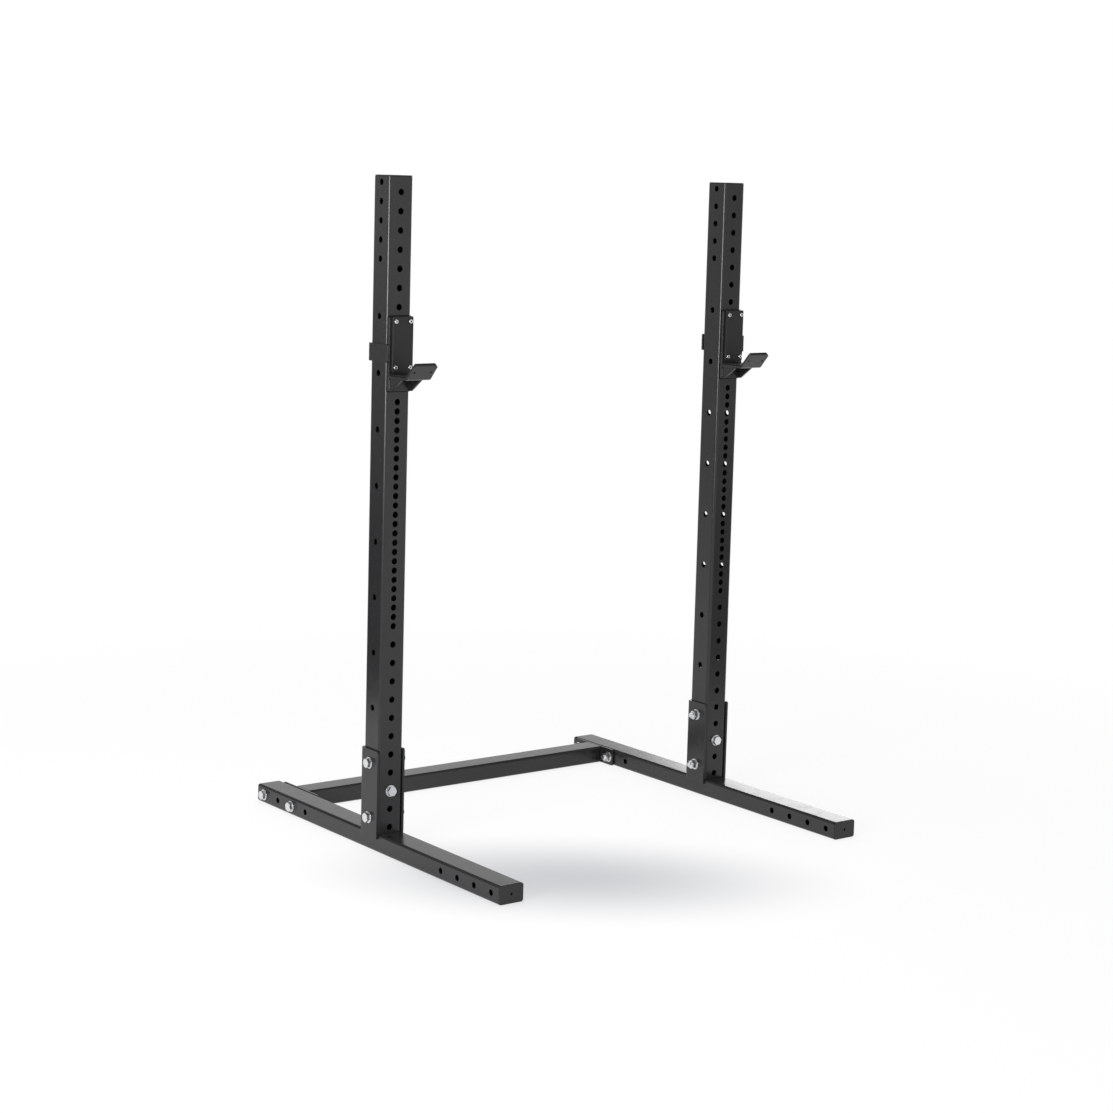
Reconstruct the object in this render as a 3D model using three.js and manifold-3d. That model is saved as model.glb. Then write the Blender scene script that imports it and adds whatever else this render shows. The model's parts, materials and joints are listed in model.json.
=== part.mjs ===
// Squat stand: two perforated uprights on flat feet, a rear crossmember and two wrap-around J-cups.
// Millimetres, +Z up, X to the right, the lifter stands at -Y. The origin is on the floor,
// midway between the uprights and midway along the feet.

import * as THREE from 'three';
import { mergeGeometries, mergeVertices } from 'three/addons/utils/BufferGeometryUtils.js';
import Module from 'manifold-3d';

const wasm = await Module();
wasm.setup();

// Clearances
const seatGap = 0.3; // between two pieces that rest on or are welded to each other
const cutOverrun = 5; // how far a cutter runs past the faces that it cuts

// Counts of facets
const cornerSteps = 2;
const bendSteps = 4;
const smallHoleSides = 6; // of the many pin holes and of the screw holes
const holeSides = 8;
const shankSides = 8;
const washerSides = 8;
const hexSides = 6;

// Uprights
const uprightSpacing = 1168.4; // between the centres of the two uprights
const uprightSide = 76.2; // the feet are as wide, so that the brackets fit over both
const uprightLength = 1783.5;
const uprightWall = 3;
const uprightCornerRadius = 8;

// Hole grid of the uprights
const gridPitch = 25.4;
const pinHoleDiameter = 17;
const frontHoleFromBottom = 15.6;
const holeFromTop = 5; // least material between a hole and the upright's top
const lowerFrontHoles = 11; // two pitches apart
const closeFrontHoles = 25; // one pitch apart, for fine setting of the J-cups
const lowerSideHoles = 10; // six pitches apart
const closeStep = 1;
const wideStep = 2;
const sideStep = 6;

// Top caps of the uprights
const capFlangeThickness = 3;
const capEdgeInset = 0.6;
const capPlugDepth = 6;
const capPlugWall = 2;
const capEdgeBevel = 0.8;

// Feet
const footOverallLength = 1219.2;
const footHeight = 50.8;
const footWall = 3;
const footCornerRadius = 7;
const footHolePitch = 76.2;
const footHoleFromEnd = 38.1;
const footHolesEachEnd = 4;
const footCapPlugDepth = 20;
const footCapHoleDiameter = 7;

// Brackets that carry the uprights
const bracketPlate = 6;
const bracketBendRadius = 3; // inside the bend
const bracketLap = 14; // down over the sides of the foot
const bracketLead = 2; // in front of the upright's face
const bracketAboveBolt = 37.5;
const bracketCornerRadius = 6;

// Rear crossmember
const crossmemberWidth = 76.2;
const crossmemberHeight = 50.8;
const crossmemberWall = 3;
const crossmemberCornerRadius = 7;
const flangeThickness = 6;
const flangeBeyondBolt = 19;
const flangeCornerRadius = 5;
const crossmemberBoltHoles = [2, 0]; // which holes of the rear group, counted from the foot's end

// Bolts, nuts and washers
const boltDiameter = 15.9;
const boltHeadAcrossFlats = 24;
const boltHeadHeight = 10;
const boltHeadChamfer = 1.4;
const boltTip = 9; // thread that stands out of the nut
const nutHeight = 13;
const nutBoreClearance = 0.3;
const washerDiameter = 32;
const washerBore = 17;
const washerThickness = 2.5;

// J-cup: face plate, pad and pin
const cupHeight = 200;
const cupPlate = 8;
const cupCornerRadius = 5;
const cupTopAbovePin = 27;
const cupHoleNumber = 39; // counted up from the lowest front hole, which is number 0
const padThickness = 4.5;
const padInset = 5; // from the edges of the face plate
const padHoleDiameter = 20;
const pinDiameter = 15.9;
const pinShortOfBack = 13; // from the pin's end to the upright's rear wall
const pinChamfer = 2;

// J-cup: strap round the outer side and the back of the upright
const strapHeight = 48;
const strapThickness = 6;
const strapBelowPin = 72; // from the pin to the middle of the strap
const strapBendRadius = 3; // inside the bend
const strapCornerRadius = 3;

// J-cup: ledge, lip and gussets
const ledgeThickness = 6.5;
const ledgeAboveBottom = 36; // underside of the ledge above the lower end of the face plate
const ledgeReach = 85; // from the face plate to where the lip turns up
const ledgeBendRadius = 5; // inside the bend
const lipLength = 56;
const lipAngle = THREE.MathUtils.degToRad(48);
const lipCornerCut = 5.5;
const lipHoleDiameter = 6.5;
const lipHoleSpacing = 52;
const lipHoleFromBend = 30;
const gussetThickness = 6;
const gussetInset = 3.5; // from the edge of the ledge
const gussetReach = 54;
const gussetFoot = 6.4; // width of its lower end
const gussetTip = 3; // height of its front end

// J-cup: plastic liners and their screws
const linerWidth = 65;
const linerAboveLedge = 5; // between the face liner and the ledge liner
const linerThickness = 8.5;
const linerCornerRadius = 4;
const linerBevel = 1.5;
const linerScrewSpacing = 46.2;
const linerScrewFromEnd = 13;
const ledgeLinerThickness = 3.5;
const ledgeLinerEndGap = 0.5; // short of the top of the lip
const linerStudReach = 1; // short of the outer face of the lip
const screwHeadDiameter = 14;
const screwHeadHeight = 4.2;
const screwCrown = 1.2;
const screwSocketDiameter = 5.6;
const screwSocketDepth = 2.4;
const screwShankDiameter = 7.6;
const screwHoleDiameter = 8.6;
const screwEngagement = 6; // length of the screw in the face plate

// Finishes
const powderCoat = { color: 0x2c2d2f, roughness: 0.62, metalness: 0.15 };
const blackPlastic = { color: 0x1b1b1c, roughness: 0.5, metalness: 0 };
const zincPlate = { color: 0xc9ccce, roughness: 0.32, metalness: 0.95 };

// Sizes that follow from the ones above
const footWidth = uprightSide;
const footTubeLength = footOverallLength - 2 * (capFlangeThickness + seatGap);
const uprightBottom = footHeight + seatGap;
const uprightTop = uprightBottom + uprightLength;
const uprightHalf = uprightSide / 2;
const bracketInner = uprightHalf + seatGap;
const bracketOuter = bracketInner + bracketPlate;
const bracketBottom = footHeight - bracketLap;
const crossmemberCentre = mean(crossmemberBoltHoles.map(footHolePlace));
const flangeInner = uprightSpacing / 2 - footWidth / 2 - seatGap - flangeThickness;

function mean(values) {
  return values.reduce((sum, value) => sum + value, 0) / values.length;
}

// Height of a place of the grid: step 0 is the lowest front hole, and one step is one pitch up
function gridHeight(step) {
  return uprightBottom + frontHoleFromBottom + step * gridPitch;
}

// Heights of a row of holes: runs of [count, stride] from the given step up, and then two pitches
// apart for as long as the upright goes on
function holeHeights(firstStep, runs) {
  const steps = [];
  let step = firstStep;
  for (const [count, stride] of runs) {
    for (let hole = 0; hole < count; hole += 1) {
      steps.push(step + hole * stride);
    }
    step = steps.at(-1) + Math.max(stride, wideStep);
  }
  const highest = uprightTop - holeFromTop - pinHoleDiameter / 2;
  while (gridHeight(step) <= highest) {
    steps.push(step);
    step += wideStep;
  }
  return steps.map(gridHeight);
}

function frontHoleHeights() {
  return holeHeights(0, [
    [lowerFrontHoles, wideStep],
    [closeFrontHoles, closeStep],
  ]);
}

// The side holes lie one pitch above the front ones
function sideHoleHeights() {
  return holeHeights(closeStep, [[lowerSideHoles, sideStep]]);
}

// Distance of a foot's hole from the middle of the foot; hole 0 is the nearest to its end
function footHolePlace(hole) {
  return footOverallLength / 2 - footHoleFromEnd - hole * footHolePitch;
}

// Closed solids from three.js geometry, and back
function solidOf(geometry) {
  const bare = geometry.clone();
  bare.deleteAttribute('normal');
  bare.deleteAttribute('uv');
  const merged = mergeVertices(bare);
  return new wasm.Manifold(
    new wasm.Mesh({
      numProp: 3,
      vertProperties: merged.attributes.position.array,
      triVerts: merged.index.array,
    }),
  );
}

function geometryOf(solid) {
  const mesh = solid.getMesh();
  const geometry = new THREE.BufferGeometry();
  geometry.setAttribute('position', new THREE.BufferAttribute(mesh.vertProperties, 3));
  geometry.setIndex(new THREE.BufferAttribute(mesh.triVerts, 1));
  return geometry;
}

// Several separate bodies in one geometry
function together(geometries) {
  return mergeGeometries(
    geometries.map((geometry) => {
      const bare = geometry.clone();
      bare.deleteAttribute('normal');
      bare.deleteAttribute('uv');
      return mergeVertices(bare);
    }),
  );
}

function cut(geometry, ...cutters) {
  let solid = solidOf(geometry);
  for (const cutter of cutters) {
    solid = solid.subtract(solidOf(cutter));
  }
  return geometryOf(solid);
}

function join(first, second) {
  return geometryOf(solidOf(first).add(solidOf(second)));
}

function common(first, second) {
  return geometryOf(solidOf(first).intersect(solidOf(second)));
}

function named(name, geometry, finish) {
  const mesh = new THREE.Mesh(geometry, new THREE.MeshStandardMaterial({ ...finish, flatShading: true }));
  mesh.name = name;
  return mesh;
}

// Points of an outline whose corners [x, y, radius] are rounded by an arc where they have a radius
function roundedOutline(corners, steps = cornerSteps) {
  const points = [];
  corners.forEach(([x, y, radius], index) => {
    const corner = new THREE.Vector2(x, y);
    if (!radius) {
      points.push(corner);
      return;
    }
    const before = corners.at(index - 1);
    const after = corners[(index + 1) % corners.length];
    const incoming = new THREE.Vector2(x - before[0], y - before[1]).normalize();
    const outgoing = new THREE.Vector2(after[0] - x, after[1] - y).normalize();
    const turn = Math.atan2(incoming.cross(outgoing), incoming.dot(outgoing));
    const start = corner.clone().addScaledVector(incoming, -radius * Math.tan(Math.abs(turn) / 2));
    const inward = new THREE.Vector2(-incoming.y, incoming.x).multiplyScalar(Math.sign(turn) * radius);
    const centre = start.clone().add(inward);
    for (let step = 0; step <= steps; step += 1) {
      points.push(start.clone().rotateAround(centre, (turn * step) / steps));
    }
  });
  return points;
}

function rectangleOutline(width, height, radius) {
  return roundedOutline([
    [-width / 2, -height / 2, radius],
    [width / 2, -height / 2, radius],
    [width / 2, height / 2, radius],
    [-width / 2, height / 2, radius],
  ]);
}

// A plate of the given outline, from z = 0 up to its thickness, with both faces bevelled alike
function plate(outline, thickness, bevel = 0) {
  return new THREE.ExtrudeGeometry(new THREE.Shape(outline), {
    depth: thickness - 2 * bevel,
    steps: 1,
    bevelEnabled: bevel > 0,
    bevelThickness: bevel,
    bevelSize: bevel,
    bevelOffset: -bevel,
    bevelSegments: 1,
  }).translate(0, 0, bevel);
}

// A rectangular tube along Z, from z = 0 up
function tube(width, height, wall, radius, length) {
  const shape = new THREE.Shape(rectangleOutline(width, height, radius));
  shape.holes.push(new THREE.Path(rectangleOutline(width - 2 * wall, height - 2 * wall, radius - wall)));
  return new THREE.ExtrudeGeometry(shape, { depth: length, steps: 1, bevelEnabled: false });
}

// A section in the YZ plane swept along X, centred on x = 0
function sweptAlongX(section, width) {
  return plate(section, width)
    .rotateX(Math.PI / 2)
    .rotateZ(Math.PI / 2)
    .translate(-width / 2, 0, 0);
}

// A drill whose flats stand at the radius of the hole, along Z and centred on the origin
function drill(diameter, length, sides = holeSides) {
  const radius = diameter / 2 / Math.cos(Math.PI / sides);
  return new THREE.CylinderGeometry(radius, radius, length, sides).rotateX(Math.PI / 2);
}

function alongX(geometry) {
  return geometry.rotateY(Math.PI / 2);
}

function alongY(geometry) {
  return geometry.rotateX(Math.PI / 2);
}

// A solid of revolution about Z from [radius, z] pairs that start and end on the axis
function turned(profile, sides) {
  const points = profile.map(([radius, z]) => new THREE.Vector2(radius, z));
  return new THREE.LatheGeometry(points, sides).rotateX(Math.PI / 2);
}

// Upright: square tube with pin holes through front and back and through both sides
function uprightGeometry() {
  const through = uprightSide + 2 * cutOverrun;
  const frontDrills = frontHoleHeights().map((height) => {
    return alongY(drill(pinHoleDiameter, through, smallHoleSides)).translate(0, 0, height - uprightBottom);
  });
  const sideDrills = sideHoleHeights().map((height) => {
    return alongX(drill(pinHoleDiameter, through, smallHoleSides)).translate(0, 0, height - uprightBottom);
  });
  const body = tube(uprightSide, uprightSide, uprightWall, uprightCornerRadius, uprightLength);
  return cut(body, together(frontDrills), together(sideDrills));
}

// End cap: a flange over the end of a tube and a hollow plug inside it, with its outer face at z = 0
// and the plug pointing up
function endCapGeometry(width, height, wall, radius, plugDepth) {
  const outline = rectangleOutline(width - 2 * capEdgeInset, height - 2 * capEdgeInset, radius - capEdgeInset);
  const flange = plate(outline, capFlangeThickness, capEdgeBevel);
  const plug = tube(
    width - 2 * (wall + seatGap),
    height - 2 * (wall + seatGap),
    capPlugWall,
    radius - wall,
    plugDepth + capFlangeThickness / 2,
  ).translate(0, 0, capFlangeThickness / 2);
  return join(flange, plug);
}

function footCapGeometry() {
  const cap = endCapGeometry(footWidth, footHeight, footWall, footCornerRadius, footCapPlugDepth);
  return cut(cap, drill(footCapHoleDiameter, 2 * (capFlangeThickness + cutOverrun)));
}

// Foot: flat tube along Y with four holes across each end
function footGeometry() {
  const body = tube(footWidth, footHeight, footWall, footCornerRadius, footTubeLength)
    .rotateX(-Math.PI / 2)
    .translate(0, -footTubeLength / 2, footHeight / 2);
  const drills = [];
  for (const end of [-1, 1]) {
    for (let hole = 0; hole < footHolesEachEnd; hole += 1) {
      const across = alongX(drill(pinHoleDiameter, footWidth + 2 * cutOverrun, smallHoleSides));
      drills.push(across.translate(0, end * footHolePlace(hole), footHeight / 2));
    }
  }
  return cut(body, together(drills));
}

// Bracket: channel bent from one plate, open to the front, that laps down over the foot
function bracketGeometry() {
  const [lowerBolt, upperBolt] = bracketBoltHeights();
  const top = upperBolt + bracketAboveBolt;
  const front = -uprightHalf - bracketLead;
  const outerRadius = bracketBendRadius + bracketPlate;
  const section = roundedOutline(
    [
      [-bracketOuter, front, 0],
      [-bracketInner, front, 0],
      [-bracketInner, bracketInner, bracketBendRadius],
      [bracketInner, bracketInner, bracketBendRadius],
      [bracketInner, front, 0],
      [bracketOuter, front, 0],
      [bracketOuter, bracketOuter, outerRadius],
      [-bracketOuter, bracketOuter, outerRadius],
    ],
    bendSteps,
  );
  const channel = plate(section, top - bracketBottom).translate(0, 0, bracketBottom);
  const sideView = roundedOutline([
    [front, bracketBottom, bracketCornerRadius],
    [bracketOuter, bracketBottom, 0],
    [bracketOuter, top, 0],
    [front, top, bracketCornerRadius],
  ]);
  const sideForm = sweptAlongX(sideView, 2 * (bracketOuter + cutOverrun));
  const overFoot = new THREE.BoxGeometry(
    2 * bracketInner,
    2 * (bracketOuter + bracketLead + cutOverrun),
    2 * (bracketLap + seatGap),
  ).translate(0, 0, footHeight - bracketLap);
  const acrossDrill = (height) => {
    return alongX(drill(pinHoleDiameter, 2 * (bracketOuter + cutOverrun))).translate(0, 0, height);
  };
  const backDrill = alongY(drill(pinHoleDiameter, 2 * (bracketPlate + cutOverrun)));
  return cut(
    common(channel, sideForm),
    overFoot,
    together([acrossDrill(upperBolt), acrossDrill(lowerBolt)]),
    backDrill.translate(0, bracketOuter - bracketPlate / 2, frontBoltHeight()),
  );
}

// The two lowest side holes take the bracket's side bolts, and the front bolt lies midway between them
function bracketBoltHeights() {
  return sideHoleHeights().slice(0, 2);
}

function frontBoltHeight() {
  const middle = mean(bracketBoltHeights());
  const distance = (height) => Math.abs(height - middle);
  return frontHoleHeights().reduce((best, height) => (distance(height) < distance(best) ? height : best));
}

// Washer of a bolted joint, from z = 0 up
function washerProfile() {
  return [
    [0, 0],
    [washerDiameter / 2, 0],
    [washerDiameter / 2, washerThickness],
    [0, washerThickness],
  ];
}

// Hexagonal bolt with its washer, along Z: the washer rests on z = 0, the head is above it
function boltGeometry(shankLength) {
  const corner = boltHeadAcrossFlats / 2 / Math.cos(Math.PI / hexSides);
  const top = washerThickness + boltHeadHeight;
  const head = turned(
    [
      [0, washerThickness / 2],
      [corner, washerThickness / 2],
      [corner, top - boltHeadChamfer],
      [corner - boltHeadChamfer, top],
      [0, top],
    ],
    hexSides,
  );
  const shank = turned(
    [
      [0, -shankLength],
      [boltDiameter / 2 - boltHeadChamfer, -shankLength],
      [boltDiameter / 2, boltHeadChamfer - shankLength],
      [boltDiameter / 2, washerThickness],
      [0, washerThickness],
    ],
    shankSides,
  );
  return join(join(turned(washerProfile(), washerSides), head), shank);
}

// Nut with its washer, along Z: the washer rests on z = 0, the nut is above it
function nutGeometry() {
  const corner = boltHeadAcrossFlats / 2 / Math.cos(Math.PI / hexSides);
  const top = washerThickness + nutHeight;
  const body = turned(
    [
      [0, washerThickness / 2],
      [corner, washerThickness / 2],
      [corner, top - boltHeadChamfer],
      [corner - boltHeadChamfer, top],
      [0, top],
    ],
    hexSides,
  );
  const bore = drill(boltDiameter + 2 * seatGap, 2 * (top + cutOverrun));
  return cut(join(turned(washerProfile(), washerSides), body), bore);
}

// A bolted joint along Z through a stack of plates of the given grip: the head's side of the stack
// is at z = 0 and the nut's side at z = -grip
function boltedJoint(name, grip) {
  const group = new THREE.Group();
  const shankLength = grip + 2 * seatGap + washerThickness + nutHeight + boltTip;
  const bolt = named(`${name}_bolt`, boltGeometry(shankLength), zincPlate);
  bolt.position.z = seatGap;
  const nut = named(`${name}_nut`, nutGeometry(), zincPlate);
  nut.position.z = -grip - seatGap;
  nut.rotation.x = Math.PI;
  group.add(bolt, nut);
  return group;
}

// One side of the frame: side is -1 on the left and 1 on the right
function frameSide(name, side) {
  const group = new THREE.Group();
  group.position.x = (side * uprightSpacing) / 2;

  group.add(named(`${name}_foot_tube`, footGeometry(), powderCoat));
  for (const [place, end] of [
    ['front', -1],
    ['rear', 1],
  ]) {
    const cap = named(`${name}_foot_${place}_cap`, footCapGeometry(), blackPlastic);
    cap.rotation.x = (end * Math.PI) / 2;
    cap.position.set(0, (end * footOverallLength) / 2, footHeight / 2);
    group.add(cap);
  }

  group.add(named(`${name}_upright_bracket`, bracketGeometry(), powderCoat));
  const upright = named(`${name}_upright`, uprightGeometry(), powderCoat);
  upright.position.z = uprightBottom;
  group.add(upright);

  const cap = named(
    `${name}_upright_cap`,
    endCapGeometry(uprightSide, uprightSide, uprightWall, uprightCornerRadius, capPlugDepth),
    blackPlastic,
  );
  cap.rotation.x = Math.PI;
  cap.position.z = uprightTop + seatGap + capFlangeThickness;
  group.add(cap);

  // The heads face outward, and the front bolt's head faces the lifter
  ['lower', 'upper'].forEach((place, index) => {
    const joint = boltedJoint(`${name}_bracket_${place}`, 2 * bracketOuter);
    joint.rotation.y = (side * Math.PI) / 2;
    joint.position.set(side * bracketOuter, 0, bracketBoltHeights()[index]);
    group.add(joint);
  });
  const frontJoint = boltedJoint(`${name}_bracket_front`, uprightHalf + bracketOuter);
  frontJoint.rotation.x = Math.PI / 2;
  frontJoint.position.set(0, -uprightHalf, frontBoltHeight());
  group.add(frontJoint);
  ['front', 'rear'].forEach((place, index) => {
    const joint = boltedJoint(`${name}_crossmember_${place}`, footWidth + seatGap + flangeThickness);
    joint.rotation.y = (side * Math.PI) / 2;
    joint.position.set((side * footWidth) / 2, footHolePlace(crossmemberBoltHoles[index]), footHeight / 2);
    group.add(joint);
  });
  return group;
}

// Rear crossmember: flat tube along X between two bolted flanges
function crossmember() {
  const group = new THREE.Group();
  group.position.set(0, crossmemberCentre, footHeight / 2);
  const length = 2 * (flangeInner - seatGap);
  const [frontBolt, rearBolt] = crossmemberBoltHoles.map(footHolePlace);
  const flangeLength = rearBolt - frontBolt + 2 * flangeBeyondBolt;
  const body = tube(
    crossmemberHeight,
    crossmemberWidth,
    crossmemberWall,
    crossmemberCornerRadius,
    length,
  );
  group.add(named('crossmember_tube', alongX(body).translate(-length / 2, 0, 0), powderCoat));
  for (const [name, side] of [
    ['left', -1],
    ['right', 1],
  ]) {
    const outline = rectangleOutline(crossmemberHeight, flangeLength, flangeCornerRadius);
    const blank = alongX(plate(outline, flangeThickness)).translate(-flangeThickness / 2, 0, 0);
    const drills = crossmemberBoltHoles.map((hole) => {
      const across = alongX(drill(pinHoleDiameter, flangeThickness + 2 * cutOverrun));
      return across.translate(0, footHolePlace(hole) - crossmemberCentre, 0);
    });
    const flange = named(`crossmember_${name}_flange`, cut(blank, together(drills)), powderCoat);
    flange.position.x = side * (flangeInner + flangeThickness / 2);
    group.add(flange);
  }
  return group;
}

// J-cup pieces. In their frame the pin's axis is the line x = z = 0, the upright's front face is
// y = 0 and forward is -y. The face plate spans the y range below.
const cupWidth = uprightSide;
const cupBack = -seatGap - padThickness - seatGap;
const cupFace = cupBack - cupPlate;
const cupTop = cupTopAbovePin;
const cupBottom = cupTop - cupHeight;
const ledgeUnder = cupBottom + ledgeAboveBottom;
const ledgeRear = cupFace - seatGap;
const bendCorner = cupFace - ledgeReach;
const linerBottom = ledgeUnder + ledgeThickness + seatGap + ledgeLinerThickness + linerAboveLedge;
const linerHeight = cupTop - linerBottom;
const linerMiddle = (cupTop + linerBottom) / 2;

// A plate in the XZ plane whose back is at y = back and which grows forward
function frontPlate(outline, thickness, back, bevel = 0) {
  return plate(outline, thickness, bevel)
    .rotateX(Math.PI / 2)
    .translate(0, back, 0);
}

function linerScrewPlaces() {
  const up = linerHeight / 2 - linerScrewFromEnd;
  const across = linerScrewSpacing / 2;
  return [-1, 1].flatMap((x) => [-1, 1].map((z) => [x * across, linerMiddle + z * up]));
}

function forwardDrill(diameter, x, z, sides = holeSides) {
  const length = 2 * (cupPlate + padThickness + linerThickness + cutOverrun);
  return alongY(drill(diameter, length, sides)).translate(x, cupBack, z);
}

function linerScrewDrills() {
  return together(linerScrewPlaces().map(([x, z]) => forwardDrill(screwHoleDiameter, x, z, smallHoleSides)));
}

function facePlateGeometry() {
  const outline = rectangleOutline(cupWidth, cupHeight, cupCornerRadius);
  const blank = frontPlate(outline, cupPlate, cupBack).translate(0, 0, (cupTop + cupBottom) / 2);
  return cut(blank, linerScrewDrills(), forwardDrill(pinDiameter + 2 * seatGap, 0, 0));
}

function padGeometry() {
  const outline = rectangleOutline(cupWidth - 2 * padInset, cupHeight - 2 * padInset, padInset);
  const blank = frontPlate(outline, padThickness, -seatGap).translate(0, 0, (cupTop + cupBottom) / 2);
  return cut(blank, forwardDrill(padHoleDiameter, 0, 0));
}

function pinGeometry() {
  const radius = pinDiameter / 2;
  const pinReach = uprightSide - uprightWall - pinShortOfBack;
  return alongY(
    turned(
      [
        [0, -pinReach],
        [radius - pinChamfer, -pinReach],
        [radius, pinChamfer - pinReach],
        [radius, -cupFace],
        [0, -cupFace],
      ],
      shankSides,
    ),
  );
}

// Strap: from beside the face plate, back along the upright's outer side and across its back.
// The outer side is at +X on the right and at -X on the left.
function strapGeometry(side) {
  const innerX = uprightHalf + seatGap;
  const outerX = innerX + strapThickness;
  const innerY = uprightSide + seatGap;
  const outerY = innerY + strapThickness;
  const section = [
    [innerX, cupFace, 0],
    [outerX, cupFace, 0],
    [outerX, outerY, strapBendRadius + strapThickness],
    [-uprightHalf, outerY, 0],
    [-uprightHalf, innerY, 0],
    [innerX, innerY, strapBendRadius],
  ];
  const backView = [
    [-uprightHalf, -strapHeight / 2, strapCornerRadius],
    [outerX + cutOverrun, -strapHeight / 2, 0],
    [outerX + cutOverrun, strapHeight / 2, 0],
    [-uprightHalf, strapHeight / 2, strapCornerRadius],
  ];
  const facing = (corners) => corners.map(([x, y, radius]) => [side * x, y, radius]);
  const bent = plate(roundedOutline(facing(section), bendSteps), strapHeight + 2 * cutOverrun);
  const depth = outerY - cupFace + 2 * cutOverrun;
  const trim = frontPlate(roundedOutline(facing(backView)), depth, outerY + cutOverrun);
  return common(bent.translate(0, 0, -strapHeight / 2 - cutOverrun), trim).translate(0, 0, -strapBelowPin);
}

// A point in the YZ plane at a distance up the lip from the bend's outer corner, and a distance in
// from the lip's outer face
function onLip(along, inward) {
  return [
    bendCorner - along * Math.cos(lipAngle) + inward * Math.sin(lipAngle),
    ledgeUnder + along * Math.sin(lipAngle) + inward * Math.cos(lipAngle),
  ];
}

// A plate that follows the ledge and the lip at a distance above their outer face
function ledgeSection(low, high, rear, lipEnd) {
  const bendShift = (inward) => inward * Math.tan(lipAngle / 2);
  const outerRadius = ledgeBendRadius + ledgeThickness;
  return roundedOutline(
    [
      [rear, ledgeUnder + low, 0],
      [rear, ledgeUnder + high, 0],
      [bendCorner + bendShift(high), ledgeUnder + high, outerRadius - high],
      [...onLip(lipEnd, high), 0],
      [...onLip(lipEnd, low), 0],
      [bendCorner + bendShift(low), ledgeUnder + low, outerRadius - low],
    ],
    bendSteps,
  );
}

// Turns a body that lies on the XY plane to lie on the lip's outer face: its -Y points up the lip.
// Its origin goes to the given place on the lip.
function setOnLip(geometry, x, along, inward) {
  const [y, z] = onLip(along, inward);
  return geometry.rotateX(-lipAngle).translate(x, y, z);
}

function lipHolePlaces() {
  return [-1, 1].map((x) => (x * lipHoleSpacing) / 2);
}

function lipDrills(diameter) {
  const length = 2 * (ledgeThickness + ledgeLinerThickness + cutOverrun);
  return lipHolePlaces().map((x) => setOnLip(drill(diameter, length), x, lipHoleFromBend, 0));
}

// Takes the two upper corners off the lip
function lipCornerCutters() {
  return [-1, 1].map((x) => {
    const outer = cupWidth / 2 + cutOverrun;
    const beyond = lipLength + cutOverrun;
    const reach = lipCornerCut + 2 * cutOverrun;
    const corner = [
      [x * outer, -beyond, 0],
      [x * outer, reach - beyond, 0],
      [x * (outer - reach), -beyond, 0],
    ];
    const block = plate(roundedOutline(corner), ledgeThickness + 2 * cutOverrun);
    return setOnLip(block.translate(0, 0, -cutOverrun), 0, 0, 0);
  });
}

// Bent ledge and lip with the two gussets welded under them
function ledgeGeometry() {
  const bent = sweptAlongX(ledgeSection(0, ledgeThickness, ledgeRear, lipLength), cupWidth);
  const blank = cut(bent, together(lipCornerCutters()), together(lipDrills(lipHoleDiameter)));
  return gussetGeometries().reduce(join, blank);
}

function gussetGeometries() {
  const top = ledgeUnder + ledgeThickness / 2;
  const side = [
    [ledgeRear, top, 0],
    [ledgeRear, cupBottom, 0],
    [ledgeRear - gussetFoot, cupBottom, 0],
    [cupFace - gussetReach, ledgeUnder - gussetTip, 0],
    [cupFace - gussetReach, top, 0],
  ];
  const place = cupWidth / 2 - gussetInset - gussetThickness / 2;
  return [-1, 1].map((x) => sweptAlongX(roundedOutline(side), gussetThickness).translate(x * place, 0, 0));
}

function linerGeometry() {
  const outline = rectangleOutline(linerWidth, linerHeight, linerCornerRadius);
  const blank = frontPlate(outline, linerThickness, cupFace - seatGap, linerBevel);
  return cut(blank.translate(0, 0, linerMiddle), linerScrewDrills());
}

// Liner of the ledge and the lip, with two studs that snap into the lip's holes
function ledgeLinerGeometry() {
  const low = ledgeThickness + seatGap;
  const high = low + ledgeLinerThickness;
  const body = sweptAlongX(ledgeSection(low, high, ledgeRear, lipLength - ledgeLinerEndGap), linerWidth);
  const studRadius = lipHoleDiameter / 2 - seatGap;
  const middle = low + ledgeLinerThickness / 2;
  const studs = lipHolePlaces().map((x) => {
    const stud = turned(
      [
        [0, linerStudReach],
        [studRadius, linerStudReach],
        [studRadius, middle],
        [0, middle],
      ],
      holeSides,
    );
    return setOnLip(stud, x, lipHoleFromBend, 0);
  });
  return studs.reduce(join, body);
}

// Button head screw along Z: the seat of its head at z = 0, the head above it
function buttonScrewGeometry() {
  const body = turned(
    [
      [0, -linerThickness - screwEngagement],
      [screwShankDiameter / 2, -linerThickness - screwEngagement],
      [screwShankDiameter / 2, 0],
      [screwHeadDiameter / 2, 0],
      [screwHeadDiameter / 2, screwHeadHeight - screwCrown],
      [screwHeadDiameter / 2 - screwCrown, screwHeadHeight],
      [0, screwHeadHeight],
    ],
    shankSides,
  );
  const socket = drill(screwSocketDiameter, 2 * screwSocketDepth, hexSides);
  return cut(body, socket.translate(0, 0, screwHeadHeight));
}

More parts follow.
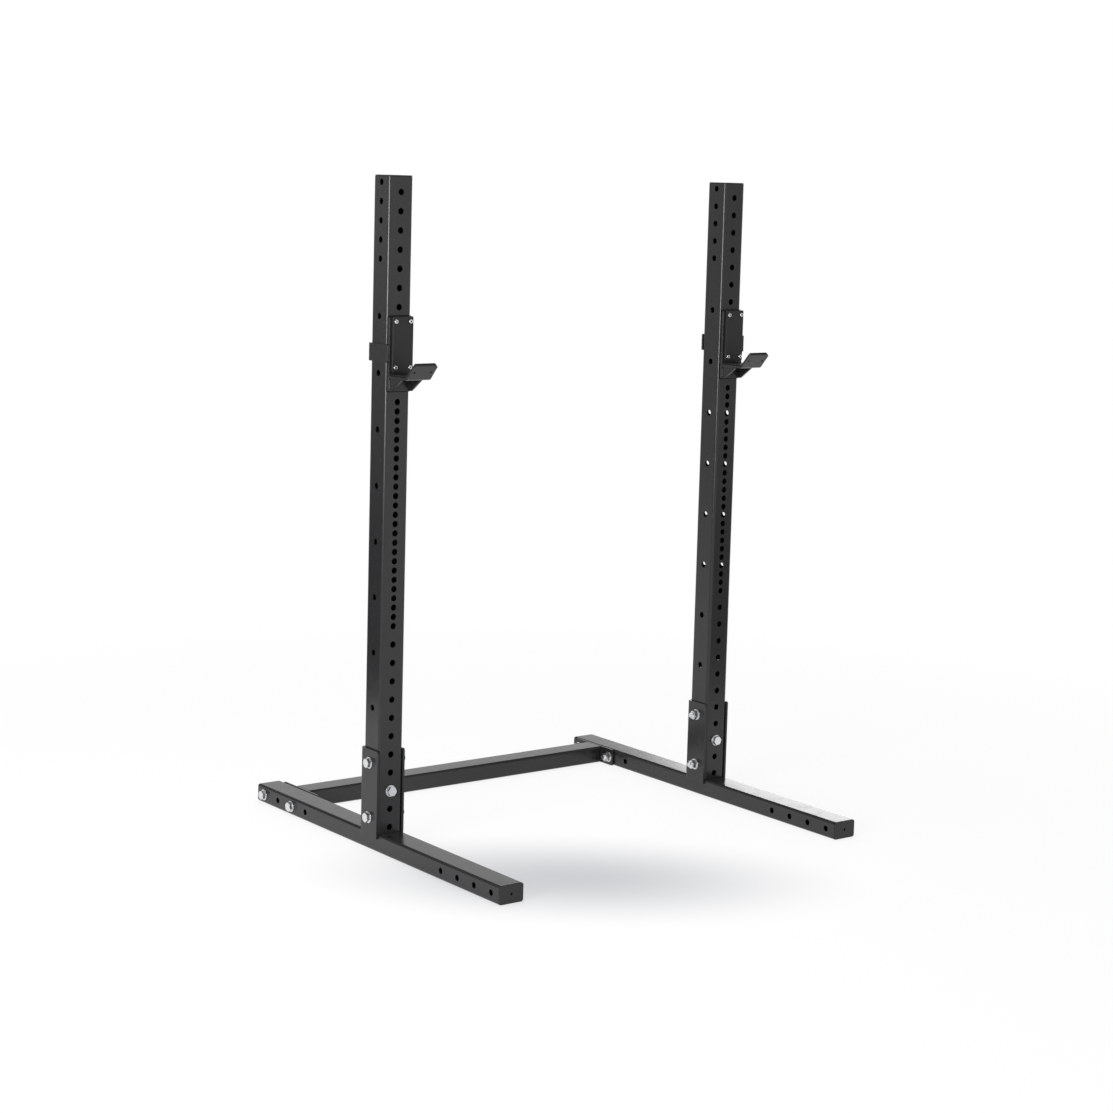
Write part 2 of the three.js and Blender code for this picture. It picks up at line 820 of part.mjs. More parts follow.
function cup(name, side) {
  const group = new THREE.Group();
  const height = frontHoleHeights()[cupHoleNumber];
  group.position.set((side * uprightSpacing) / 2, -uprightHalf, height);
  group.add(
    named(`${name}_jcup_face_plate`, facePlateGeometry(), powderCoat),
    named(`${name}_jcup_back_pad`, padGeometry(), blackPlastic),
    named(`${name}_jcup_pin`, pinGeometry(), zincPlate),
    named(`${name}_jcup_strap`, strapGeometry(side), powderCoat),
    named(`${name}_jcup_ledge`, ledgeGeometry(), powderCoat),
    named(`${name}_jcup_liner`, linerGeometry(), blackPlastic),
    named(`${name}_jcup_ledge_liner`, ledgeLinerGeometry(), blackPlastic),
  );
  linerScrewPlaces().forEach(([x, z], index) => {
    const screw = named(`${name}_jcup_screw_${index + 1}`, buttonScrewGeometry(), zincPlate);
    screw.rotation.x = Math.PI / 2;
    screw.position.set(x, cupFace - 2 * seatGap - linerThickness, z);
    group.add(screw);
  });
  return group;
}

const stand = new THREE.Group();
stand.name = 'squat_stand';
stand.add(frameSide('left', -1), frameSide('right', 1), crossmember(), cup('left', -1), cup('right', 1));

export default stand;
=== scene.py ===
import json
import math

import bpy
from mathutils import Matrix, Vector


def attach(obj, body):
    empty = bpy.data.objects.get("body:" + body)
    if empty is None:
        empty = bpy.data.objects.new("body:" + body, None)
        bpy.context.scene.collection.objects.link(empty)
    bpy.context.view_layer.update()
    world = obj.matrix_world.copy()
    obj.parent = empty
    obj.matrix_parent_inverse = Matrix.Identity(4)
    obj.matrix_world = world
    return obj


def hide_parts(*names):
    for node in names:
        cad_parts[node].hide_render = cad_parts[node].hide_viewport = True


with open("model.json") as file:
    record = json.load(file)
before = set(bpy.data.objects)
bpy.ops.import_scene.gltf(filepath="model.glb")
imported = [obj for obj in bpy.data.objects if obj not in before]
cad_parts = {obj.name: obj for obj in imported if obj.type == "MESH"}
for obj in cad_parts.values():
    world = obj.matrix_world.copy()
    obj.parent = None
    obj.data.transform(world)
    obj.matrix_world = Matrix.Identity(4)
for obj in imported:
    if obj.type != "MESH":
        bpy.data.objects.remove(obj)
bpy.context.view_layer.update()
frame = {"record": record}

# The stand's sizes are in millimetres, as in its drawing, and the studio's are in metres.
MM = 0.001


# ---------------------------------------------------------------- sizes

# Places nearer than CLOSE are the same one, a cutter passes the work by OVERRUN, and a face is
# square to an axis when its normal has this share along it.
CLOSE = 0.05
OVERRUN = 5
SQUARE = 0.999

# The angles, in degrees, from which edges are broken and are kept sharp.
EDGE_ANGLE = 30
SMOOTH_ANGLE = 50
EDGE_STEPS = 2
CORNER_STEPS = 6
BEND_STEPS = 6
SLIT_SIDES = 8
ROD_SIDES = 24
BOLT_SIDES = 32
PLATE_EDGE = 0.7

# The space that is left between pieces that touch.
GAP = 0.3
CENTRE = 584.2
HALF_SIDE = 38.1
SIDE = 2 * HALF_SIDE
WALL = 3
POST_CORNER = 8
POST_BOTTOM = 51.1
POST_TOP = 1834.6
PIN_HOLE = 17
POST_HOLE = 17.6
HOLE_EDGE = 0.3
# Faces that lie deeper in a tube than its skin get painted shade.
SKIN = 0.32

# A pin hole is some steps of PITCH above the lowest one.
PITCH = 25.4
LOWEST_HOLE = 66.7
FRONT_STEPS = [*range(0, 21, 2), *range(22, 47), *range(48, 69, 2)]
SIDE_STEPS = [*range(1, 56, 6), *range(61, 70, 2)]
FRONT_BOLT_STEP = 4

FOOT_HALF_LENGTH = 609.6
FOOT_HEIGHT = 50.8
FOOT_CORNER = 7
FOOT_HOLES = (342.9, 419.1, 495.3, 571.5)
CAP_PLATE = 3
CAP_INSET = 0.6
CAP_WALL = 2
CAP_EDGE = 0.8
FOOT_PLUG = 20
POST_PLUG = 6
FOOT_CAP_HOLE = 7

BRACKET_INNER = HALF_SIDE + GAP
BRACKET_PLATE = 6
BRACKET_OUTER = BRACKET_INNER + BRACKET_PLATE
BRACKET_BEND = 9
BRACKET_CORNER = 6
# It stands out before the upright, laps over the foot and rises above its upper bolt.
BRACKET_LEAD = 2
BRACKET_LAP = 14
BRACKET_RISE = 37.5

BEAM_Y = 495.3
BEAM_HALF_LENGTH = 539.5
BEAM_EDGE = 0.5
FLANGE_INNER = 539.8
FLANGE_PLATE = 6
FLANGE_HALF_LENGTH = 95.2
FLANGE_CORNER = 5

BOLT = 15.9
HEX_FLATS = 24
HEX_CORNERS = HEX_FLATS / math.cos(math.pi / 6)
HEX_CHAMFER = 1.5
HEAD_HEIGHT = 10
HEAD_EDGE = 0.25
NUT_HEIGHT = 13
NUT_EDGE = 0.3
BOLT_TIP = 9
BOLT_SPINS = (8, 41, 22, 15, 52)
WASHER = 32
WASHER_PLATE = 2.5
WASHER_EDGE = 0.5
THREAD_PITCH = 2
THREAD_ROOT_SHARE = 0.88

CUP_Z = 1438.3
CUP_BACK = HALF_SIDE + 5.1
CUP_FACE = HALF_SIDE + 13.1
CUP_TOP = 1465.3
CUP_BOTTOM = 1265.3
CUP_CORNER = 5
CUP_EDGE = 0.9
PIN_DRILL = 16.5
PIN_REACH = 60.2
PIN_CHAMFER = 2
# The pad passes the face plate by this much below, and by half of it above.
PAD_PROUD = 2.6
PAD_HOLE = 20
PAD_EDGE = 0.5
STRAP_Z = 1366.3
STRAP_HALF_HEIGHT = 24
STRAP_OUTER = 44.4
STRAP_PLATE = 6
STRAP_BEND = 9
STRAP_CORNER = 3

LEDGE_Z = 1301.3
LEDGE_PLATE = 6.5
LEDGE_REAR = CUP_FACE + GAP
BEND_Y = HALF_SIDE + 98.1
LEDGE_BEND = 11.5
LIP_ANGLE = math.radians(48)
LIP_LENGTH = 56
LIP_CORNER = 5.5
LIP_HOLE = 6.5
LIP_HOLE_X = 26
LIP_HOLE_ALONG = 30
GUSSET_X = 31.6
GUSSET_PLATE = 6
# The foot's depth, the reach from the face plate, the tip's height and the gap behind.
GUSSET_FOOT = 6.4
GUSSET_REACH = 54
GUSSET_TIP = 3
GUSSET_SETBACK = 0.2

LINER_HALF_WIDTH = 32.5
LINER_BOTTOM = 1316.6
LINER_PLATE = 8.5
LINER_CORNER = 4
LINER_EDGE = 1.5
LEDGE_LINER = 3.5
LEDGE_LINER_EDGE = 0.8
LIP_LINER_SHORT = 0.5
STUD = 5.9
STUD_SHORT = 1
STUD_EDGE = 0.5
SCREW_X = 23.1
SCREW_HEIGHTS = (1329.6, 1452.3)
SCREW_PLACES = [(x, z) for x in (-SCREW_X, SCREW_X) for z in SCREW_HEIGHTS]
SCREW_SPINS = (5, 33, 18, 47)
SCREW_HEAD = 11.6
SCREW_HEIGHT = 3.6
SCREW_DOME = 1.9
SCREW_EDGE = 0.25
SCREW_SHANK = 7.6
SCREW_HOLE = 8.6
SCREW_LENGTH = 14.5
SOCKET = 4.4
SOCKET_DEPTH = 2.6
SOCKET_RIM = 0.3

# A bead's diameter, and its middle's way out of the corner, are shares of its leg.
WELD_LEG = 4
SMALL_WELD_LEG = 3
BEAD_SHARE = 1.3
BEAD_OUT = 0.2
BEAD_PITCH = 1.9
BEAD_ROOT_SHARE = 0.82
BEAD_SIDES = 10


# ---------------------------------------------------------------- workbench

def activate(piece):
    bpy.ops.object.select_all(action="DESELECT")
    piece.select_set(True)
    bpy.context.view_layer.objects.active = piece


def settle(piece):
    """Puts the piece's place, turn and size into its mesh."""
    activate(piece)
    bpy.ops.object.transform_apply(location=True, rotation=True, scale=True)
    return piece


def started(name):
    piece = bpy.context.active_object
    piece.name = piece.data.name = name
    return settle(piece)


def start_block(name, low, high):
    low, high = Vector(low) * MM, Vector(high) * MM
    bpy.ops.mesh.primitive_cube_add(size=1, location=(low + high) / 2, scale=high - low)
    return started(name)


def start_rod(name, diameter, start, end, sides=ROD_SIDES):
    start, end = Vector(start) * MM, Vector(end) * MM
    along = end - start
    bpy.ops.mesh.primitive_cylinder_add(
        vertices=sides,
        radius=diameter * MM / 2,
        depth=along.length,
        location=(start + end) / 2,
        rotation=along.to_track_quat("Z", "Y").to_euler(),
    )
    return started(name)


def pick(piece, kind, rule):
    """Leaves the piece in edit mode with the edges or faces selected that the rule chooses."""
    activate(piece)
    bpy.ops.object.mode_set(mode="EDIT")
    bpy.ops.mesh.select_mode(type=kind)
    bpy.ops.mesh.select_all(action="DESELECT")
    bpy.ops.object.mode_set(mode="OBJECT")
    points = [vertex.co / MM for vertex in piece.data.vertices]
    if kind == "EDGE":
        for edge in piece.data.edges:
            edge.select = bool(rule(points[edge.vertices[0]], points[edge.vertices[1]]))
    else:
        for face in piece.data.polygons:
            face.select = bool(rule(face.center / MM, face.normal))
    bpy.ops.object.mode_set(mode="EDIT")


def leave():
    bpy.ops.object.mode_set(mode="OBJECT")


def edges_along(axis, **places):
    """A rule for edges that run along one axis, at the listed places on the others."""
    def among(point, letter, values):
        return any(abs(getattr(point, letter) - value) < CLOSE for value in values)

    def rule(first, second):
        across = [letter for letter in "xyz" if letter != axis]
        straight = all(among(first, letter, [getattr(second, letter)]) for letter in across)
        return straight and all(among(first, *place) for place in places.items())
    return rule


def face_at(axis, place):
    """A rule for faces square to an axis at a place on it."""
    def rule(centre, normal):
        near = abs(getattr(centre, axis) - place) < CLOSE
        return near and abs(getattr(normal, axis)) > SQUARE
    return rule


def every_face(centre, normal):
    return True


def round_edges(piece, rule, radius, steps):
    pick(piece, "EDGE", rule)
    bpy.ops.mesh.bevel(offset=radius * MM, segments=steps, affect="EDGES")
    leave()


def round_rim(rod, axis, end, radius, steps):
    """Rounds the rim of a rod's end."""
    pick(rod, "FACE", face_at(axis, end))
    bpy.ops.mesh.bevel(offset=radius * MM, segments=steps, affect="EDGES")
    leave()


def draw_out(rise):
    """Extrudes the selected faces along Z."""
    bpy.ops.mesh.extrude_region_move(TRANSFORM_OT_translate={"value": (0, 0, rise * MM)})


def apply_modifier(piece, kind, **settings):
    activate(piece)
    modifier = piece.modifiers.new(kind.title(), kind)
    for name, value in settings.items():
        setattr(modifier, name, value)
    bpy.ops.object.modifier_apply(modifier=modifier.name)


def combine(piece, other, operation):
    apply_modifier(piece, "BOOLEAN", operation=operation, solver="EXACT", object=other)
    bpy.data.objects.remove(other)


def cut(piece, cutter):
    combine(piece, cutter, "DIFFERENCE")


def mark_painted_shade(piece, rule):
    """Notes the faces that get their slot's painted shade. The rule is given centres."""
    for face in piece.data.polygons:
        if rule(face.center / MM):
            face.material_index = PAINTED_SHADE_INDEX


def duplicate(piece, name, shift=(0, 0, 0)):
    copy = piece.copy()
    copy.data = piece.data.copy()
    copy.name = copy.data.name = name
    bpy.context.scene.collection.objects.link(copy)
    copy.location = Vector(shift) * MM
    return settle(copy)


def join(pieces):
    bpy.ops.object.select_all(action="DESELECT")
    for piece in pieces:
        piece.select_set(True)
    bpy.context.view_layer.objects.active = pieces[0]
    if len(pieces) > 1:
        bpy.ops.object.join()
    return pieces[0]


def drill(piece, diameter, direction, places, reach, sides=ROD_SIDES):
    """Round holes of one diameter and direction, through all that lies within reach."""
    first = Vector(places[0])
    along = Vector(direction) * reach
    rod = start_rod("drill", diameter, first - along, first + along, sides)
    others = [duplicate(rod, "drill", Vector(place) - first) for place in places[1:]]
    cut(piece, join([rod] + others))


def break_edges(piece, width, steps=EDGE_STEPS):
    """Bevels the piece's sharp edges, and closes the slits that this may leave."""
    apply_modifier(
        piece, "BEVEL", width=width * MM, segments=steps, limit_method="ANGLE",
        angle_limit=math.radians(EDGE_ANGLE), use_clamp_overlap=True,
    )
    pick(piece, "FACE", every_face)
    bpy.ops.mesh.fill_holes(sides=SLIT_SIDES)
    leave()


def bent_sheet(name, path, span, bend_radius, bend_steps, thickness, inward):
    """A plate bent along a path of corners, which are those of its outer face."""
    path = [Vector(point) for point in path]
    span = Vector(span)
    leg = path[1] - path[0]
    across = leg.normalized().cross(span.normalized())
    turn = Matrix((leg.normalized(), span.normalized(), across)).transposed()
    bpy.ops.mesh.primitive_plane_add(
        size=1,
        location=(path[0] + leg / 2 + span / 2) * MM,
        rotation=turn.to_euler(),
    )
    piece = bpy.context.active_object
    piece.scale = (leg.length * MM, span.length * MM, 1)
    started(name)

    def at_corner(corner):
        def near(end):
            return (end - corner).cross(span.normalized()).length < CLOSE
        return lambda first, second: near(first) and near(second)

    for corner, following in zip(path[1:], path[2:]):
        pick(piece, "EDGE", at_corner(corner))
        step = {"value": (following - corner) * MM}
        bpy.ops.mesh.extrude_edges_move(TRANSFORM_OT_translate=step)
        leave()
    for before, corner, after in zip(path, path[1:], path[2:]):
        bend = (corner - before).angle(after - corner)
        round_edges(piece, at_corner(corner), bend_radius * math.tan(bend / 2), bend_steps)
    if piece.data.polygons[0].normal.dot(Vector(inward)) > 0:
        pick(piece, "FACE", every_face)
        bpy.ops.mesh.flip_normals()
        leave()
    apply_modifier(
        piece, "SOLIDIFY", thickness=thickness * MM, offset=-1,
        use_even_offset=True, use_quality_normals=True,
    )
    return piece


def mirrored(piece, name):
    """The same piece for the other side of the stand."""
    copy = duplicate(piece, name)
    copy.scale = (-1, 1, 1)
    settle(copy)
    pick(copy, "FACE", every_face)
    bpy.ops.mesh.normals_make_consistent(inside=False)
    leave()
    return copy


def place_copy(piece, name, turn, place):
    """A copy of a piece that was made upright at the origin, turned and carried to its place."""
    copy = duplicate(piece, name)
    copy.rotation_euler = turn
    copy.location = Vector(place) * MM
    return settle(copy)


def facing(direction, spin):
    """The turn that brings Z to a direction, after a spin about Z in degrees."""
    about = Matrix.Rotation(math.radians(spin), 3, "Z")
    return (Vector(direction).to_track_quat("Z", "Y").to_matrix() @ about).to_euler()


def smooth(piece):
    activate(piece)
    bpy.ops.object.shade_smooth_by_angle(angle=math.radians(SMOOTH_ANGLE))
    apply_modifier(piece, "WEIGHTED_NORMAL", mode="FACE_AREA", weight=50, keep_sharp=True)


# ---------------------------------------------------------------- materials

class Shade:
    """A number or colour on its way through a material's nodes."""

    def __init__(self, finish, socket):
        self.finish = finish
        self.socket = socket

    def maths(self, operation, first, second):
        return self.finish.node("ShaderNodeMath", {"operation": operation}, {0: first, 1: second})

    def __add__(self, other):
        return self.maths("ADD", self, other)

    def __sub__(self, other):
        return self.maths("SUBTRACT", self, other)

    def __mul__(self, other):
        return self.maths("MULTIPLY", self, other)

    def __rsub__(self, other):
        return self.maths("SUBTRACT", other, self)

    __radd__ = __add__
    __rmul__ = __mul__


class Finish:
    """A material, or the room's light, and the nodes that it is mixed from."""

    def __init__(self, name, kept_in=bpy.data.materials, shader="Principled BSDF"):
        self.owner = kept_in.new(name)
        self.owner.use_nodes = True
        self.nodes = self.owner.node_tree.nodes
        self.shader = self.nodes[shader]

    def feed(self, socket, value):
        if isinstance(value, Shade):
            self.owner.node_tree.links.new(value.socket, socket)
        else:
            socket.default_value = value

    def node(self, kind, settings=None, values=None, output=0):
        made = self.nodes.new(kind)
        for name, value in (settings or {}).items():
            setattr(made, name, value)
        for name, value in (values or {}).items():
            self.feed(made.inputs[name], value)
        return Shade(self, made.outputs[output])

    def place(self, stretch=(1, 1, 1)):
        """The point on the piece, in metres, with the pattern pulled out along an axis."""
        point = self.node("ShaderNodeTexCoord", output="Object")
        if stretch == (1, 1, 1):
            return point
        return self.node("ShaderNodeMapping", values={"Vector": point, "Scale": stretch})

    def noise(self, size, detail, stretch=(1, 1, 1), roughness=0.5):
        """Cloudy variation between about 0 and 1, with clouds of the given size in mm."""
        return self.node("ShaderNodeTexNoise", values={
            "Vector": self.place(stretch), "Scale": 1 / (size * MM),
            "Detail": detail, "Roughness": roughness,
        })

    def between(self, value, low, high, start=0.0, end=1.0, course="LINEAR"):
        """The start below low, the end above high and a way from one to the other."""
        return self.node("ShaderNodeMapRange", {"interpolation_type": course}, {
            "Value": value, "From Min": low, "From Max": high, "To Min": start, "To Max": end,
        })

    def mix(self, share, first, second):
        """A mix of two colours. Its sockets go by number, because others have their names."""
        values = {0: share, 6: first, 7: second}
        return self.node("ShaderNodeMix", {"data_type": "RGBA"}, values, output=2)

    def length(self, vector):
        return self.node("ShaderNodeVectorMath", {"operation": "LENGTH"}, {0: vector}, "Value")

    def part(self, axis, vector):
        return self.node("ShaderNodeSeparateXYZ", values={0: vector}, output=axis)

    def ray(self, kind):
        """1 for the rays of one kind, and 0 for all others."""
        return self.node("ShaderNodeLightPath", output=f"Is {kind} Ray")

    def bump(self, height, strength, depth, under=None):
        """A relief of the given depth in mm, on another one if that is given."""
        values = {"Height": height, "Strength": strength, "Distance": depth * MM}
        if under:
            values["Normal"] = under
        return self.node("ShaderNodeBump", values=values)

    def coat(self, **values):
        for name, value in values.items():
            self.feed(self.shader.inputs[name.replace("_", " ")], value)
        return self.owner


def powder_coat():
    """Fine-textured charcoal powder, baked on: a dense grain over a slow orange peel."""
    finish = Finish("powder_coat")
    grain = finish.noise(size=0.6, detail=3)
    peel = finish.noise(size=7, detail=2)
    cloud = finish.noise(size=160, detail=3)
    dust = finish.noise(size=38, detail=4, roughness=0.65)
    dust = finish.between(dust, low=0.52, high=0.74)
    colour = finish.mix(cloud, (0.0135, 0.0139, 0.0145, 1), (0.0175, 0.0178, 0.0185, 1))
    speck = finish.between(grain, low=0.55, high=0.8)
    colour = finish.mix(speck * 0.5, colour, (0.034, 0.035, 0.036, 1))
    relief = finish.bump(peel, strength=0.35, depth=0.04)
    relief = finish.bump(grain, strength=0.4, depth=0.02, under=relief)
    return finish.coat(
        Base_Color=colour,
        Roughness=0.17 + 0.10 * grain + 0.06 * dust,
        Specular_IOR_Level=0.4,
        Normal=relief,
    )


def zinc_steel():
    """Bright zinc plate with a faint cloudy haze and fine turning lines."""
    finish = Finish("zinc_steel")
    haze = finish.noise(size=9, detail=4, roughness=0.6)
    lines = finish.noise(size=0.8, detail=2)
    colour = finish.mix(haze, (0.64, 0.65, 0.66, 1), (0.79, 0.80, 0.81, 1))
    return finish.coat(
        Base_Color=colour,
        Metallic=0.95,
        Roughness=0.16 + 0.14 * haze,
        Normal=finish.bump(lines, strength=0.2, depth=0.04),
    )


def liner_plastic():
    """Dense black wear plastic, cut from sheet, with a fine planed surface."""
    finish = Finish("liner_plastic")
    planed = finish.noise(size=2.2, detail=3, stretch=(1, 1, 0.12))
    cloud = finish.noise(size=30, detail=3)
    scuff = finish.noise(size=12, detail=5, stretch=(0.35, 1, 1), roughness=0.7)
    scuff = finish.between(scuff, low=0.58, high=0.8)
    colour = finish.mix(cloud, (0.010, 0.0103, 0.011, 1), (0.014, 0.0142, 0.015, 1))
    colour = finish.mix(scuff * 0.4, colour, (0.03, 0.03, 0.031, 1))
    return finish.coat(
        Base_Color=colour,
        Roughness=0.42 + 0.12 * cloud + 0.1 * scuff,
        Specular_IOR_Level=0.35,
        Normal=finish.bump(planed, strength=0.25, depth=0.08),
    )


def bare_steel_and_painted_shade_inside():
    """Dull bare steel inside a tube, where the powder hardly reaches, and painted shade there and
    on its holes' walls.
    """
    finish = Finish("bare_steel_and_painted_shade_inside")
    scale = finish.noise(size=14, detail=4, roughness=0.6)
    colour = finish.mix(scale, (0.006, 0.0058, 0.0056, 1), (0.011, 0.0105, 0.010, 1))
    return finish.coat(
        Base_Color=colour,
        Roughness=0.75 + 0.15 * scale,
        Specular_IOR_Level=0.15,
        Normal=finish.bump(scale, strength=0.3, depth=0.1),
    )


def socket_painted_shade():
    """Painted shade on the bottom and sides of a screw's socket, dark and dull."""
    finish = Finish("socket_painted_shade")
    socket_shade_noise = finish.noise(size=1.5, detail=3)
    colour = finish.mix(socket_shade_noise, (0.012, 0.012, 0.012, 1), (0.03, 0.03, 0.03, 1))
    return finish.coat(
        Base_Color=colour,
        Metallic=0.3,
        Roughness=0.5 + 0.2 * socket_shade_noise,
        Specular_IOR_Level=0.2,
    )


def black_pad_and_painted_shade():
    """Dull black rubber for a cup's back pad, painted darker for the shade in its gap, and
    painted shade on its liner's studs.
    """
    finish = Finish("black_pad_and_painted_shade")
    pad_shade_noise = finish.noise(size=18, detail=3)
    colour = finish.mix(pad_shade_noise, (0.002, 0.002, 0.002, 1), (0.005, 0.005, 0.005, 1))
    return finish.coat(
        Base_Color=colour,
        Roughness=0.8 + 0.1 * pad_shade_noise,
        Specular_IOR_Level=0.05,
        Normal=finish.bump(pad_shade_noise, strength=0.2, depth=0.1),
    )


def cap_plastic():
    """Moulded black plastic with a spark-eroded grain."""
    finish = Finish("cap_plastic")
    grain = finish.noise(size=0.9, detail=2)
    cloud = finish.noise(size=25, detail=3)
    colour = finish.mix(cloud, (0.018, 0.018, 0.0185, 1), (0.023, 0.023, 0.0235, 1))
    return finish.coat(
        Base_Color=colour,
        Roughness=0.46 + 0.1 * cloud,
        Specular_IOR_Level=0.35,
        Normal=finish.bump(grain, strength=0.4, depth=0.08),
    )


finishes = {
    "powder_coat": powder_coat(),
    "zinc_steel": zinc_steel(),
    "liner_plastic": liner_plastic(),
    "cap_plastic": cap_plastic(),
}
# Where a slot has a darker material of painted shade too, it is a piece's second material.
PAINTED_SHADE_INDEX = 1
painted_shades = {
    "powder_coat": bare_steel_and_painted_shade_inside(),
    "zinc_steel": socket_painted_shade(),
    "liner_plastic": black_pad_and_painted_shade(),
}

bodies = frame["record"]["behaviour"]["bodies"]
body_of = {node: body for body, nodes in bodies.items() for node in nodes}


def put_on(piece, body, slot):
    """Smooths a made piece, gives it its finish and puts it on a body of the stand."""
    smooth(piece)
    piece.data.materials.append(finishes[slot])
    # A piece with marked faces gets its slot's painted shade as a second material.
    if any(face.material_index == PAINTED_SHADE_INDEX for face in piece.data.polygons):
        piece.data.materials.append(painted_shades[slot])
    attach(piece, body)


def fit(piece, node, slot):
    """Puts a made piece on the stand in the place of its solid."""
    put_on(piece, body_of[node], slot)
    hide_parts(node)


def fit_both(piece, node, slot):
    """Fits a piece of the left side, and its mirror image on the right side."""
    other = mirrored(piece, f"right_{node}_part")
    fit(piece, f"left_{node}", slot)
    fit(other, f"right_{node}", slot)


# ---------------------------------------------------------------- tubes

def tube(name, low, high, axis, corner):
    low, high = Vector(low), Vector(high)
    piece = start_block(name, low, high)
    round_edges(piece, edges_along(axis), corner, CORNER_STEPS)
    inset = Vector((WALL, WALL, WALL))
    setattr(inset, axis, -OVERRUN)
    bore = start_block("bore", low + inset, high - inset)
    round_edges(bore, edges_along(axis), corner - WALL, CORNER_STEPS)
    cut(piece, bore)
    return piece


def paint_shade_inside(piece, low, high, axis, corner):
    """Marks all deeper in a tube than its outer skin, its bore and its holes' walls, for painted
    shade.
    """
    across = [letter for letter in "xyz" if letter != axis]
    middle = (Vector(low) + Vector(high)) / 2
    straight = (Vector(high) - Vector(low)) / 2 - Vector((corner, corner, corner))

    def inside(centre):
        place = centre - middle
        out = [abs(getattr(place, letter)) - getattr(straight, letter) for letter in across]
        beyond = math.hypot(max(out[0], 0), max(out[1], 0))
        return beyond + min(max(out), 0) - corner < -SKIN

    mark_painted_shade(piece, inside)


def hole_height(step):
    return LOWEST_HOLE + PITCH * step


def make_post():
    form = (
        (-CENTRE - HALF_SIDE, -HALF_SIDE, POST_BOTTOM),
        (-CENTRE + HALF_SIDE, HALF_SIDE, POST_TOP),
        "z", POST_CORNER,
    )
    post = tube("left_upright_part", *form)
    reach = HALF_SIDE + OVERRUN
    front = [(-CENTRE, 0, hole_height(step)) for step in FRONT_STEPS]
    side = [(-CENTRE, 0, hole_height(step)) for step in SIDE_STEPS]
    drill(post, POST_HOLE, (0, 1, 0), front, reach)
    drill(post, POST_HOLE, (1, 0, 0), side, reach)
    break_edges(post, HOLE_EDGE)
    # The upright's bore and holes' walls get painted shade.
    paint_shade_inside(post, *form)
    fit_both(post, "upright", "powder_coat")


def make_foot():
    end = FOOT_HALF_LENGTH - CAP_PLATE - GAP
    form = (
        (-CENTRE - HALF_SIDE, -end, 0),
        (-CENTRE + HALF_SIDE, end, FOOT_HEIGHT),
        "y", FOOT_CORNER,
    )
    foot = tube("left_foot_tube_part", *form)
    places = [(-CENTRE, sign * y, FOOT_HEIGHT / 2) for sign in (-1, 1) for y in FOOT_HOLES]
    drill(foot, PIN_HOLE, (1, 0, 0), places, HALF_SIDE + OVERRUN)
    break_edges(foot, HOLE_EDGE)
    # The foot's bore and holes' walls get painted shade.
    paint_shade_inside(foot, *form)
    fit_both(foot, "foot_tube", "powder_coat")


def make_beam():
    beam = tube(
        "crossmember_tube_part",
        (-BEAM_HALF_LENGTH, BEAM_Y - HALF_SIDE, 0),
        (BEAM_HALF_LENGTH, BEAM_Y + HALF_SIDE, FOOT_HEIGHT),
        "x", FOOT_CORNER,
    )
    break_edges(beam, BEAM_EDGE)
    fit(beam, "crossmember_tube", "powder_coat")
    flange = start_block(
        "crossmember_left_flange_part",
        (-FLANGE_INNER - FLANGE_PLATE, BEAM_Y - FLANGE_HALF_LENGTH, 0),
        (-FLANGE_INNER, BEAM_Y + FLANGE_HALF_LENGTH, FOOT_HEIGHT),
    )
    round_edges(flange, edges_along("x"), FLANGE_CORNER, CORNER_STEPS)
    middle = -FLANGE_INNER - FLANGE_PLATE / 2
    holes = [(middle, y, FOOT_HEIGHT / 2) for y in (FOOT_HOLES[1], FOOT_HOLES[3])]
    drill(flange, PIN_HOLE, (1, 0, 0), holes, FLANGE_PLATE)
    break_edges(flange, PLATE_EDGE)
    other = mirrored(flange, "crossmember_right_flange_part")
    fit(flange, "crossmember_left_flange", "powder_coat")
    fit(other, "crossmember_right_flange", "powder_coat")


# ---------------------------------------------------------------- caps

def end_cap(name, width, height, corner, plug):
    """A cap with its outer face down at the origin and its hollow plug pointing up."""
    x, y = width / 2 - CAP_INSET, height / 2 - CAP_INSET
    cap = start_block(name, (-x, -y, 0), (x, y, CAP_PLATE))
    round_edges(cap, edges_along("z"), corner - CAP_INSET, CORNER_STEPS)
    pick(cap, "FACE", face_at("z", CAP_PLATE))
    bpy.ops.mesh.inset(thickness=(WALL + GAP - CAP_INSET) * MM)
    draw_out(plug)
    bpy.ops.mesh.inset(thickness=CAP_WALL * MM)
    draw_out(-plug)
    leave()
    return cap


def make_caps():
    top = end_cap("cap", SIDE, SIDE, POST_CORNER, POST_PLUG)
    break_edges(top, CAP_EDGE, steps=3)
    height = POST_TOP + GAP + CAP_PLATE
    fit_both(
        place_copy(top, "left_upright_cap_part", (math.pi, 0, 0), (-CENTRE, 0, height)),
        "upright_cap", "cap_plastic",
    )
    foot = end_cap("foot_cap", SIDE, FOOT_HEIGHT, FOOT_CORNER, FOOT_PLUG)
    drill(foot, FOOT_CAP_HOLE, (0, 0, 1), [(0, 0, 0)], CAP_PLATE + OVERRUN)
    break_edges(foot, CAP_EDGE, steps=3)
    for place, sign in (("front", -1), ("rear", 1)):
        cap = place_copy(
            foot, f"left_foot_{place}_cap_part", (sign * math.pi / 2, 0, 0),
            (-CENTRE, sign * FOOT_HALF_LENGTH, FOOT_HEIGHT / 2),
        )
        fit_both(cap, f"foot_{place}_cap", "cap_plastic")
    for spare in (top, foot):
        bpy.data.objects.remove(spare)


# ---------------------------------------------------------------- brackets

